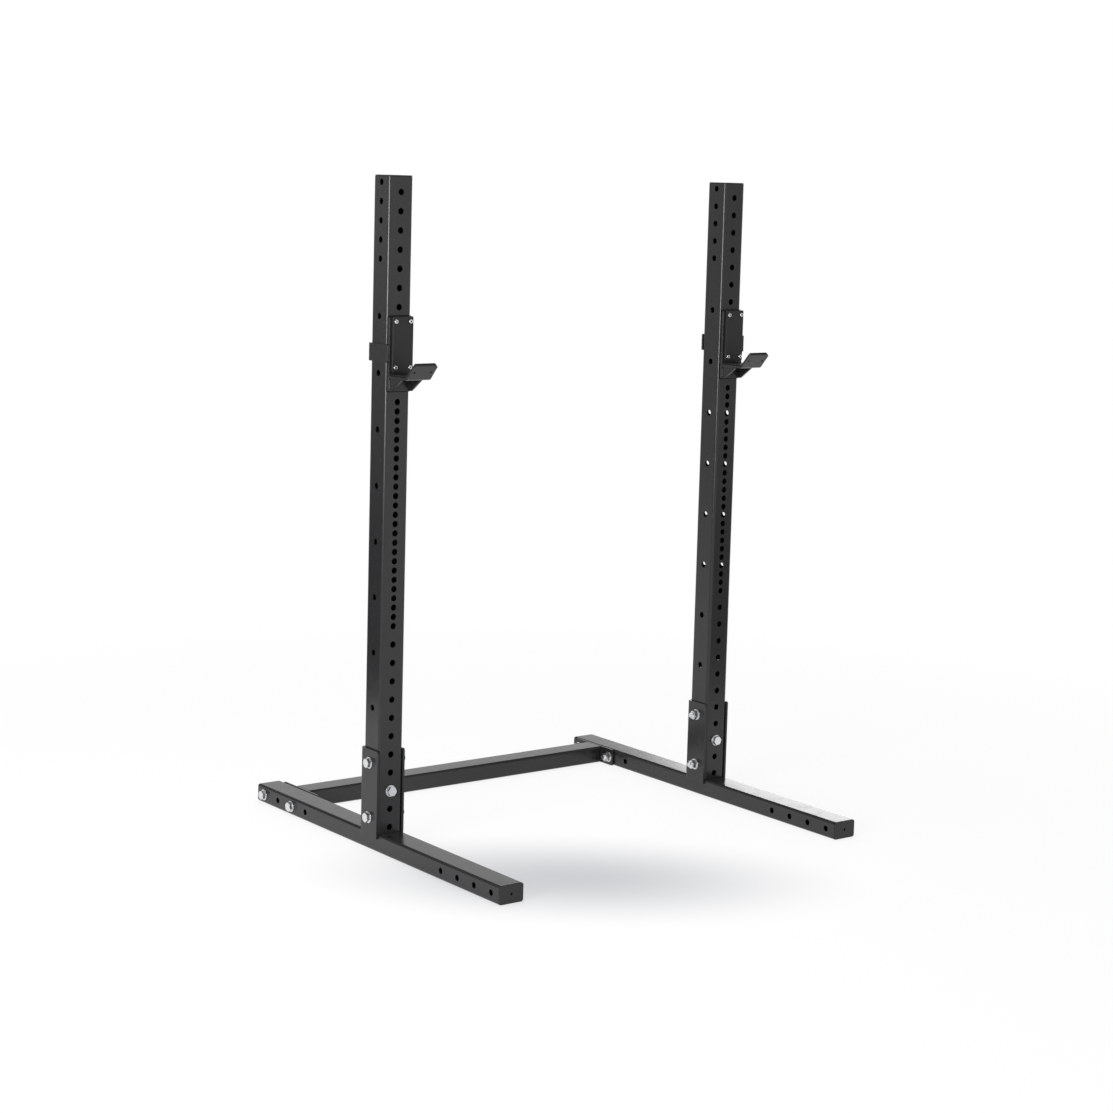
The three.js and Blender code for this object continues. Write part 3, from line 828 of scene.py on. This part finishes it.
def make_bracket():
    front = -HALF_SIDE - BRACKET_LEAD
    low, high = FOOT_HEIGHT - BRACKET_LAP, hole_height(SIDE_STEPS[1]) + BRACKET_RISE
    bracket = bent_sheet(
        "left_upright_bracket_part",
        [
            (-CENTRE - BRACKET_OUTER, front, low),
            (-CENTRE - BRACKET_OUTER, BRACKET_OUTER, low),
            (-CENTRE + BRACKET_OUTER, BRACKET_OUTER, low),
            (-CENTRE + BRACKET_OUTER, front, low),
        ],
        (0, 0, high - low), BRACKET_BEND, BEND_STEPS, BRACKET_PLATE, (1, 0, 0),
    )
    round_edges(
        bracket, edges_along("x", y=[front], z=[low, high]), BRACKET_CORNER, CORNER_STEPS,
    )
    over_foot = start_block(
        "over_foot",
        (-CENTRE - BRACKET_INNER, -BRACKET_OUTER - OVERRUN, low - OVERRUN),
        (-CENTRE + BRACKET_INNER, BRACKET_OUTER + OVERRUN, FOOT_HEIGHT + GAP),
    )
    cut(bracket, over_foot)
    sides = [(-CENTRE, 0, hole_height(step)) for step in SIDE_STEPS[:2]]
    drill(bracket, PIN_HOLE, (1, 0, 0), sides, BRACKET_OUTER + OVERRUN)
    front_bolt = (-CENTRE, BRACKET_OUTER, hole_height(FRONT_BOLT_STEP))
    drill(bracket, PIN_HOLE, (0, 1, 0), [front_bolt], BRACKET_PLATE * 2)
    break_edges(bracket, PLATE_EDGE)
    fit_both(bracket, "upright_bracket", "powder_coat")


# ---------------------------------------------------------------- fasteners

def hex_body(name, height, both_ends):
    """A six-sided head or nut on the washer, with its corners turned off as on a lathe."""
    bottom, top = GAP + WASHER_PLATE, GAP + WASHER_PLATE + height
    body = start_rod(name, HEX_CORNERS, (0, 0, bottom), (0, 0, top), sides=6)
    turned = start_rod("turned", HEX_CORNERS, (0, 0, bottom), (0, 0, top), BOLT_SIDES)
    ends = [bottom, top] if both_ends else [top]

    def rim(first, second):
        return any(abs(first.z - end) < CLOSE and abs(second.z - end) < CLOSE for end in ends)

    round_edges(turned, rim, HEX_CHAMFER, steps=2)
    combine(body, turned, "INTERSECT")
    return body


def washer(bore=0):
    ring = start_rod("washer", WASHER, (0, 0, GAP), (0, 0, GAP + WASHER_PLATE), BOLT_SIDES)
    if bore:
        drill(ring, bore, (0, 0, 1), [(0, 0, 0)], WASHER_PLATE + OVERRUN)
    break_edges(ring, WASHER_EDGE)
    return ring


def add_ridges(rod, end, count, pitch, root_share):
    """Makes a rod longer by ridges and grooves, the last of which stays narrow."""
    pick(rod, "FACE", face_at("z", end))
    for ridge in range(count):
        for size in (root_share, 1 / root_share):
            draw_out(pitch / 2)
            if size < 1 or ridge < count - 1:
                bpy.ops.transform.resize(value=(size, size, 1), center_override=(0, 0, 0))
    leave()


def hex_bolt(name, grip):
    """A bolt along Z: its washer rests on the work at the origin, and the head is above it."""
    head = hex_body(name, HEAD_HEIGHT, both_ends=False)
    break_edges(head, HEAD_EDGE, steps=1)
    end = -grip - GAP - WASHER_PLATE - NUT_HEIGHT - BOLT_TIP
    turns = int(BOLT_TIP / THREAD_PITCH)
    plain_end = end + turns * THREAD_PITCH
    shank = start_rod("shank", BOLT, (0, 0, plain_end), (0, 0, GAP + WASHER_PLATE), BOLT_SIDES)
    add_ridges(shank, plain_end, turns, -THREAD_PITCH, THREAD_ROOT_SHARE)
    return join([head, shank, washer()])


def hex_nut(name):
    """A nut along Z on its washer, which rests on the work at the origin."""
    body = hex_body(name, NUT_HEIGHT, both_ends=True)
    drill(body, BOLT + 2 * GAP, (0, 0, 1), [(0, 0, 0)], NUT_HEIGHT * 2, BOLT_SIDES)
    break_edges(body, NUT_EDGE, steps=1)
    return join([body, washer(BOLT + 2 * GAP)])


def bolted_joint(bolt, nut, node, turn, seat, far_seat, spin):
    """Puts a bolt at its seat, looking where the turn takes Z, and the nut at the far seat."""
    axis = turn.to_matrix() @ Vector((0, 0, 1))
    for piece, part, aim, place in (
        (bolt, "bolt", facing(axis, spin), seat),
        (nut, "nut", facing(-axis, spin), far_seat),
    ):
        copy = place_copy(piece, f"left_{node}_{part}_part", aim, place)
        fit_both(copy, f"{node}_{part}", "zinc_steel")


def make_fasteners():
    across = 2 * BRACKET_OUTER
    through = HALF_SIDE + BRACKET_OUTER
    foot_grip = SIDE + GAP + FLANGE_PLATE
    nut = hex_nut("nut")
    side_bolt = hex_bolt("side_bolt", across)
    front_bolt = hex_bolt("front_bolt", through)
    foot_bolt = hex_bolt("foot_bolt", foot_grip)
    outward = Vector((-1, 0, 0)).to_track_quat("Z", "Y")
    forward = Vector((0, -1, 0)).to_track_quat("Z", "Y")
    spins = iter(BOLT_SPINS)
    for place, step in (("lower", SIDE_STEPS[0]), ("upper", SIDE_STEPS[1])):
        z = hole_height(step)
        bolted_joint(
            side_bolt, nut, f"bracket_{place}", outward,
            (-CENTRE - BRACKET_OUTER, 0, z), (-CENTRE + BRACKET_OUTER, 0, z), next(spins),
        )
    z = hole_height(FRONT_BOLT_STEP)
    bolted_joint(
        front_bolt, nut, "bracket_front", forward,
        (-CENTRE, -HALF_SIDE, z), (-CENTRE, BRACKET_OUTER, z), next(spins),
    )
    x, z = -CENTRE - HALF_SIDE, FOOT_HEIGHT / 2
    for place, y in (("front", FOOT_HOLES[1]), ("rear", FOOT_HOLES[3])):
        bolted_joint(
            foot_bolt, nut, f"crossmember_{place}", outward,
            (x, y, z), (x + foot_grip, y, z), next(spins),
        )
    for spare in (nut, side_bolt, front_bolt, foot_bolt):
        bpy.data.objects.remove(spare)


# ---------------------------------------------------------------- J-cups

def on_lip(along, inward):
    """The y and z of a place that far up the lip from its bend, and in from its outer face."""
    return (
        -BEND_Y - along * math.cos(LIP_ANGLE) + inward * math.sin(LIP_ANGLE),
        LEDGE_Z + along * math.sin(LIP_ANGLE) + inward * math.cos(LIP_ANGLE),
    )


def up_lip(point):
    """How far up the lip a point is."""
    forward, above = -BEND_Y - point.y, point.z - LEDGE_Z
    return forward * math.cos(LIP_ANGLE) + above * math.sin(LIP_ANGLE)


def into_lip(point):
    """How far in from the lip's outer face a point is."""
    back, above = point.y + BEND_Y, point.z - LEDGE_Z
    return back * math.sin(LIP_ANGLE) + above * math.cos(LIP_ANGLE)


def ledge_sheet(name, half_width, inward, thickness, lip_end):
    """A plate bent like the ledge and its lip, which lies that far in from their outer face."""
    shift = inward * math.tan(LIP_ANGLE / 2)
    x = -CENTRE - half_width
    return bent_sheet(
        name,
        [
            (x, -LEDGE_REAR, LEDGE_Z + inward),
            (x, -BEND_Y + shift, LEDGE_Z + inward),
            (x, *on_lip(lip_end, inward)),
        ],
        (2 * half_width, 0, 0), LEDGE_BEND - inward, BEND_STEPS, thickness, (0, 0, 1),
    )


def drill_for_screws(piece):
    places = [(-CENTRE + x, -CUP_FACE, z) for x, z in SCREW_PLACES]
    drill(piece, SCREW_HOLE, (0, 1, 0), places, LINER_PLATE + OVERRUN)


def make_face_plate():
    plate = start_block(
        "left_jcup_face_plate_part",
        (-CENTRE - HALF_SIDE, -CUP_FACE, CUP_BOTTOM),
        (-CENTRE + HALF_SIDE, -CUP_BACK, CUP_TOP),
    )
    round_edges(plate, edges_along("y"), CUP_CORNER, CORNER_STEPS)
    drill_for_screws(plate)
    drill(plate, PIN_DRILL, (0, 1, 0), [(-CENTRE, -CUP_FACE, CUP_Z)], LINER_PLATE + OVERRUN)
    break_edges(plate, CUP_EDGE)
    fit_both(plate, "jcup_face_plate", "powder_coat")


def make_back_pad():
    pad = start_block(
        "left_jcup_back_pad_part",
        (-CENTRE - HALF_SIDE + GAP, -CUP_BACK + GAP, CUP_BOTTOM - PAD_PROUD),
        (-CENTRE + HALF_SIDE - GAP, -HALF_SIDE - GAP, CUP_TOP + PAD_PROUD / 2),
    )
    round_edges(pad, edges_along("y"), CUP_CORNER, CORNER_STEPS)
    drill(pad, PAD_HOLE, (0, 1, 0), [(-CENTRE, -CUP_BACK, CUP_Z)], LINER_PLATE + OVERRUN)
    break_edges(pad, PAD_EDGE)
    # The whole pad is painted near black for the shade in the gap behind the face plate.
    mark_painted_shade(pad, lambda centre: True)
    fit_both(pad, "jcup_back_pad", "liner_plastic")


def make_pin():
    front, back = -CUP_FACE, -HALF_SIDE + PIN_REACH
    pin = start_rod(
        "left_jcup_pin_part", BOLT, (-CENTRE, front, CUP_Z), (-CENTRE, back, CUP_Z), BOLT_SIDES,
    )
    round_rim(pin, "y", back, PIN_CHAMFER, steps=3)
    fit_both(pin, "jcup_pin", "zinc_steel")


def make_strap():
    low = STRAP_Z - STRAP_HALF_HEIGHT
    strap = bent_sheet(
        "left_jcup_strap_part",
        [
            (-CENTRE - STRAP_OUTER, -CUP_FACE, low),
            (-CENTRE - STRAP_OUTER, STRAP_OUTER, low),
            (-CENTRE + HALF_SIDE, STRAP_OUTER, low),
        ],
        (0, 0, 2 * STRAP_HALF_HEIGHT), STRAP_BEND, BEND_STEPS, STRAP_PLATE, (1, 0, 0),
    )
    levels = [low, low + 2 * STRAP_HALF_HEIGHT]
    for ends in (
        edges_along("y", x=[-CENTRE + HALF_SIDE], z=levels),
        edges_along("x", y=[-CUP_FACE], z=levels),
    ):
        round_edges(strap, ends, STRAP_CORNER, CORNER_STEPS)
    break_edges(strap, PLATE_EDGE)
    fit_both(strap, "jcup_strap", "powder_coat")


def make_gusset(x):
    rear, front = -LEDGE_REAR - GUSSET_SETBACK, -CUP_FACE - GUSSET_REACH
    gusset = start_block(
        "gusset",
        (x - GUSSET_PLATE / 2, front, CUP_BOTTOM),
        (x + GUSSET_PLATE / 2, rear, LEDGE_Z + LEDGE_PLATE / 2),
    )
    foot = Vector((x, -LEDGE_REAR - GUSSET_FOOT, CUP_BOTTOM))
    tip = Vector((x, front, LEDGE_Z - GUSSET_TIP))
    pick(gusset, "FACE", every_face)
    slope = (tip - foot).cross(Vector((1, 0, 0))).normalized()
    bpy.ops.mesh.bisect(plane_co=foot * MM, plane_no=slope, use_fill=True, clear_inner=True)
    leave()
    break_edges(gusset, PLATE_EDGE)
    return gusset


def make_ledge():
    ledge = ledge_sheet("left_jcup_ledge_part", HALF_SIDE, 0, LEDGE_PLATE, LIP_LENGTH)

    def lip_corner(first, second):
        at_end = min(up_lip(first), up_lip(second)) > LIP_LENGTH - CLOSE
        return at_end and abs(first.x - second.x) < CLOSE

    round_edges(ledge, lip_corner, LIP_CORNER, steps=1)
    y, z = on_lip(LIP_HOLE_ALONG, 0)
    holes = [(-CENTRE + x, y, z) for x in (-LIP_HOLE_X, LIP_HOLE_X)]
    inward = (0, math.sin(LIP_ANGLE), math.cos(LIP_ANGLE))
    drill(ledge, LIP_HOLE, inward, holes, LEDGE_PLATE + OVERRUN)
    break_edges(ledge, PLATE_EDGE)
    for x in (-GUSSET_X, GUSSET_X):
        combine(ledge, make_gusset(-CENTRE + x), "UNION")
    fit_both(ledge, "jcup_ledge", "powder_coat")


def make_liners():
    face = start_block(
        "left_jcup_liner_part",
        (-CENTRE - LINER_HALF_WIDTH, -LEDGE_REAR - LINER_PLATE, LINER_BOTTOM),
        (-CENTRE + LINER_HALF_WIDTH, -LEDGE_REAR, CUP_TOP),
    )
    round_edges(face, edges_along("y"), LINER_CORNER, CORNER_STEPS)
    drill_for_screws(face)
    break_edges(face, LINER_EDGE, steps=3)
    fit_both(face, "jcup_liner", "liner_plastic")

    lift = LEDGE_PLATE + GAP
    tray = ledge_sheet(
        "left_jcup_ledge_liner_part",
        LINER_HALF_WIDTH, lift, LEDGE_LINER, LIP_LENGTH - LIP_LINER_SHORT,
    )
    break_edges(tray, LEDGE_LINER_EDGE, steps=3)
    for x in (-LIP_HOLE_X, LIP_HOLE_X):
        outer = on_lip(LIP_HOLE_ALONG, STUD_SHORT)
        inner = on_lip(LIP_HOLE_ALONG, lift + LEDGE_LINER / 2)
        stud = start_rod("stud", STUD, (-CENTRE + x, *outer), (-CENTRE + x, *inner))
        break_edges(stud, STUD_EDGE)
        combine(tray, stud, "UNION")
    # Only the studs reach further out than the sheet, and they get painted shade.
    mark_painted_shade(tray, lambda centre: into_lip(centre) < lift - CLOSE)
    fit_both(tray, "jcup_ledge_liner", "liner_plastic")


def make_screws():
    """Button heads: a low dome over a short edge, with a six-sided socket for the key."""
    screw = start_rod("screw", SCREW_HEAD, (0, 0, 0), (0, 0, SCREW_HEIGHT), BOLT_SIDES)
    round_rim(screw, "z", SCREW_HEIGHT, SCREW_DOME, steps=5)
    bottom = SCREW_HEIGHT - SOCKET_DEPTH
    corners, above = SOCKET / math.cos(math.pi / 6), SCREW_HEIGHT + OVERRUN
    cut(screw, start_rod("key", corners, (0, 0, bottom), (0, 0, above), sides=6))

    def in_socket(centre):
        narrow = math.hypot(centre.x, centre.y) < SOCKET / 2 + CLOSE
        return narrow and bottom - CLOSE < centre.z < SCREW_HEIGHT - SOCKET_RIM

    shank = start_rod("shank", SCREW_SHANK, (0, 0, -SCREW_LENGTH), (0, 0, 0), BOLT_SIDES)
    join([screw, shank])
    break_edges(screw, SCREW_EDGE, steps=1)
    # The socket's bottom and sides get painted shade.
    mark_painted_shade(screw, in_socket)
    seat = -LEDGE_REAR - LINER_PLATE - GAP
    for number, ((x, z), spin) in enumerate(zip(SCREW_PLACES, SCREW_SPINS), 1):
        for side, sign in (("left", -1), ("right", 1)):
            node = f"{side}_jcup_screw_{number}"
            place = (sign * CENTRE + x, seat, z)
            copy = place_copy(screw, f"{node}_part", facing((0, -1, 0), spin), place)
            fit(copy, node, "zinc_steel")
    bpy.data.objects.remove(screw)


# ---------------------------------------------------------------- welds

def weld_bead(start, end, first_side, second_side, leg):
    """A rippled bead along the corner of two plates, given by the ways that their faces look."""
    start, end = Vector(start), Vector(end)
    out = (Vector(first_side) + Vector(second_side)) * leg * BEAD_OUT
    rod = start_rod("bead", leg * BEAD_SHARE, (0, 0, 0), (0, 0, BEAD_PITCH), BEAD_SIDES)
    count = int((end - start).length / BEAD_PITCH) - 1
    add_ridges(rod, BEAD_PITCH, count, BEAD_PITCH, BEAD_ROOT_SHARE)
    aim = (end - start).to_track_quat("Z", "Y").to_euler()
    bead = place_copy(rod, "bead", aim, start + out)
    bpy.data.objects.remove(rod)
    return bead


def weld_both(beads, left, right, left_body, right_body):
    """Joins beads to one piece, and puts it on a body and its mirror image on another."""
    welds = join(beads)
    welds.name = welds.data.name = left
    other = mirrored(welds, right)
    put_on(welds, left_body, "powder_coat")
    put_on(other, right_body, "powder_coat")


def make_welds():
    below, before = (0, 0, -1), (0, -1, 0)
    beads = [weld_bead(
        (-CENTRE - GUSSET_X + GUSSET_PLATE, -CUP_FACE, LEDGE_Z),
        (-CENTRE + GUSSET_X - GUSSET_PLATE, -CUP_FACE, LEDGE_Z),
        below, before, WELD_LEG,
    )]
    for sign in (-1, 1):
        x = -CENTRE + sign * (GUSSET_X + GUSSET_PLATE / 2)
        beads.append(weld_bead(
            (x, -CUP_FACE, CUP_BOTTOM + WELD_LEG), (x, -CUP_FACE, LEDGE_Z - WELD_LEG),
            (sign, 0, 0), before, SMALL_WELD_LEG,
        ))
        beads.append(weld_bead(
            (x, -CUP_FACE - WELD_LEG, LEDGE_Z), (x, -CUP_FACE - GUSSET_REACH + WELD_LEG, LEDGE_Z),
            (sign, 0, 0), below, SMALL_WELD_LEG,
        ))
    weld_both(beads, "left_jcup_welds", "right_jcup_welds", "left_jcup", "right_jcup")
    beads = []
    for sign in (-1, 1):
        y = BEAM_Y + sign * HALF_SIDE
        beads.append(weld_bead(
            (-FLANGE_INNER, y, FOOT_CORNER), (-FLANGE_INNER, y, FOOT_HEIGHT - FOOT_CORNER),
            (1, 0, 0), (0, sign, 0), WELD_LEG,
        ))
    weld_both(beads, "crossmember_left_welds", "crossmember_right_welds", "frame", "frame")


make_post()
make_foot()
make_beam()
make_caps()
make_bracket()
make_fasteners()
make_face_plate()
make_back_pad()
make_pin()
make_strap()
make_ledge()
make_liners()
make_screws()
make_welds()


# ---------------------------------------------------------------- studio

PHOTO_SIDE = 1113
FOCAL_PIXELS = 2448.423
PRINCIPAL_ROW = 480.0
SENSOR_WIDTH = 36.0
CAMERA_YAW = math.radians(37.158)
CAMERA_PITCH = math.radians(-7.301)
CAMERA_ROLL = math.radians(1.549)
CAMERA_PLACE = Vector((-4.182446, -5.499668, 1.872567))

# Shares of full light: the world's on the stand, and the left wall's and the ceiling's in
# reflections. The walls dim between two values of a direction's X or Z, the floor between two X.
WORLD_LIGHT = 0.7
LEFT_WALL_LIGHT = 0.5
LEFT_WALL_DIMS = (-0.6, 0.1)
LEFT_FLOOR_DIMS = (-4.5, -1.2)
CEILING_DIMS = (0.25, 0.5)
CEILING_LIGHT = 0.15

FLOOR_SIDE = 60
FLOOR_DROP = 0.4 * MM
FLOOR_COLOUR = (0.88, 0.88, 0.88, 1)
FLOOR_ROUGHNESS = 0.9
SHADE_CENTRE = (-0.305, -0.515, 0)
SHADE_HALF_SIZE = (0.82, 0.46, 1)
SHADE_COLOUR = (0.53, 0.545, 0.57, 1)
# The share of the floor's even white grows from NEAR_WHITE to 1 between two distances.
WHITE_OUT = (1.2, 3.2)
NEAR_WHITE = 0.8


def add_camera():
    ahead = Vector((
        math.sin(CAMERA_YAW) * math.cos(CAMERA_PITCH),
        math.cos(CAMERA_YAW) * math.cos(CAMERA_PITCH),
        math.sin(CAMERA_PITCH),
    ))
    level = Vector((math.cos(CAMERA_YAW), -math.sin(CAMERA_YAW), 0))
    upward = level.cross(ahead)
    right = math.cos(CAMERA_ROLL) * level + math.sin(CAMERA_ROLL) * upward
    top = math.cos(CAMERA_ROLL) * upward - math.sin(CAMERA_ROLL) * level
    turn = Matrix((right, top, -ahead)).transposed().to_4x4()
    data = bpy.data.cameras.new("photo_camera")
    data.sensor_width = SENSOR_WIDTH
    data.lens = SENSOR_WIDTH * FOCAL_PIXELS / PHOTO_SIDE
    data.shift_y = PRINCIPAL_ROW / PHOTO_SIDE - 0.5
    data.clip_end = 100
    camera = bpy.data.objects.new("photo_camera", data)
    bpy.context.scene.collection.objects.link(camera)
    camera.matrix_world = Matrix.Translation(CAMERA_PLACE) @ turn
    bpy.context.scene.camera = camera


def add_lamp(name, place, target, size, watts):
    """A soft lamp: a disk where one size is given, and a panel where its two sides are."""
    data = bpy.data.lights.new(name, "AREA")
    data.shape = "RECTANGLE" if len(size) == 2 else "DISK"
    data.size = size[0]
    data.size_y = size[-1]
    data.energy = watts
    lamp = bpy.data.objects.new(name, data)
    lamp.visible_camera = False
    bpy.context.scene.collection.objects.link(lamp)
    lamp.location = place
    lamp.rotation_euler = (Vector(target) - Vector(place)).to_track_quat("-Z", "Y").to_euler()


def add_floor():
    """A white floor with one soft oval shade, on which the stand's own shadow is faint."""
    bpy.ops.mesh.primitive_plane_add(size=FLOOR_SIDE, location=(0, 0, -FLOOR_DROP))
    floor = started("floor")
    finish = Finish("pale_floor")
    point = finish.place()
    oval = finish.node("ShaderNodeMapping", {"vector_type": "TEXTURE"}, {
        "Vector": point, "Location": SHADE_CENTRE, "Rotation": (0, 0, -CAMERA_YAW),
        "Scale": SHADE_HALF_SIZE,
    })
    faded = finish.between(finish.length(oval), low=0, high=1, course="SMOOTHSTEP")
    colour = finish.mix(faded, SHADE_COLOUR, (1, 1, 1, 1))
    far = finish.between(finish.length(point), *WHITE_OUT, NEAR_WHITE, 1)
    seen, reflected = finish.ray("Camera"), finish.ray("Glossy")
    dim = finish.between(finish.part("X", point), *LEFT_FLOOR_DIMS, LEFT_WALL_LIGHT, 1)
    dimmed = finish.mix(reflected * (1 - dim), colour, (0, 0, 0, 1))
    bright = finish.node("ShaderNodeEmission", values={"Color": dimmed, "Strength": 1})
    finish.coat(Base_Color=FLOOR_COLOUR, Roughness=FLOOR_ROUGHNESS)
    own = Shade(finish, finish.shader.outputs[0])
    shares = {0: (seen + reflected) * far, 1: own, 2: bright}
    both = finish.node("ShaderNodeMixShader", values=shares)
    finish.feed(finish.nodes["Material Output"].inputs["Surface"], both)
    floor.data.materials.append(finish.owner)


def add_flag(name, low, high, fade, dark, light):
    """A dark cloth beside the stand that only reflections see. It gets paler up the fade."""
    size, middle = Vector(high) - Vector(low), (Vector(high) + Vector(low)) / 2
    bpy.ops.mesh.primitive_plane_add(size=1, location=middle, rotation=(math.pi / 2, 0, 0))
    flag = bpy.context.active_object
    flag.scale = (size.x, size.z, 1)
    started(name)
    finish = Finish(name)
    height = finish.part("Z", finish.place())
    finish.coat(
        Base_Color=(0, 0, 0, 1),
        Specular_IOR_Level=0,
        Emission_Color=finish.between(height, *fade, dark, light),
        Emission_Strength=1,
    )
    flag.data.materials.append(finish.owner)
    flag.visible_camera = flag.visible_diffuse = flag.visible_shadow = False


def add_surroundings():
    """White walls, which reflections see too, dimmer on the left and under a dark ceiling."""
    room = Finish("studio", bpy.data.worlds, "Background")
    seen, reflected = room.ray("Camera"), room.ray("Glossy")
    direction = room.node("ShaderNodeTexCoord", output="Generated")
    left = room.between(room.part("X", direction), *LEFT_WALL_DIMS, LEFT_WALL_LIGHT, 1)
    ceiling = room.between(room.part("Z", direction), *CEILING_DIMS, 1, CEILING_LIGHT)
    light = WORLD_LIGHT + reflected * (left * ceiling - WORLD_LIGHT) + seen * (1 - WORLD_LIGHT)
    room.coat(Color=light, Strength=1)
    bpy.context.scene.world = room.owner


add_camera()
add_surroundings()
add_floor()
add_flag(
    "left_flag", low=(-2.1, 1.2, 0.1), high=(-1.0, 1.2, 1.5),
    fade=(0.6, 1.45), dark=0.05, light=0.42,
)
add_flag(
    "right_flag", low=(1.15, -1.2, 0.0), high=(2.1, -1.2, 2.0),
    fade=(0.45, 1.1), dark=0.22, light=0.65,
)
add_lamp("overhead", place=(-0.5, 0.5, 4.5), target=(0, 0, 0), size=(3.0,), watts=60)
add_lamp("right_rear", place=(15.6, 12.9, 3.6), target=(0, 0, 0.5), size=(7.0,), watts=395)
add_lamp(
    "left_panel", place=(-4.25, -1.7, 1.4), target=(-0.6, 0, 1.2), size=(2.0, 1.4), watts=135,
)

bpy.context.scene.view_settings.view_transform = "Standard"
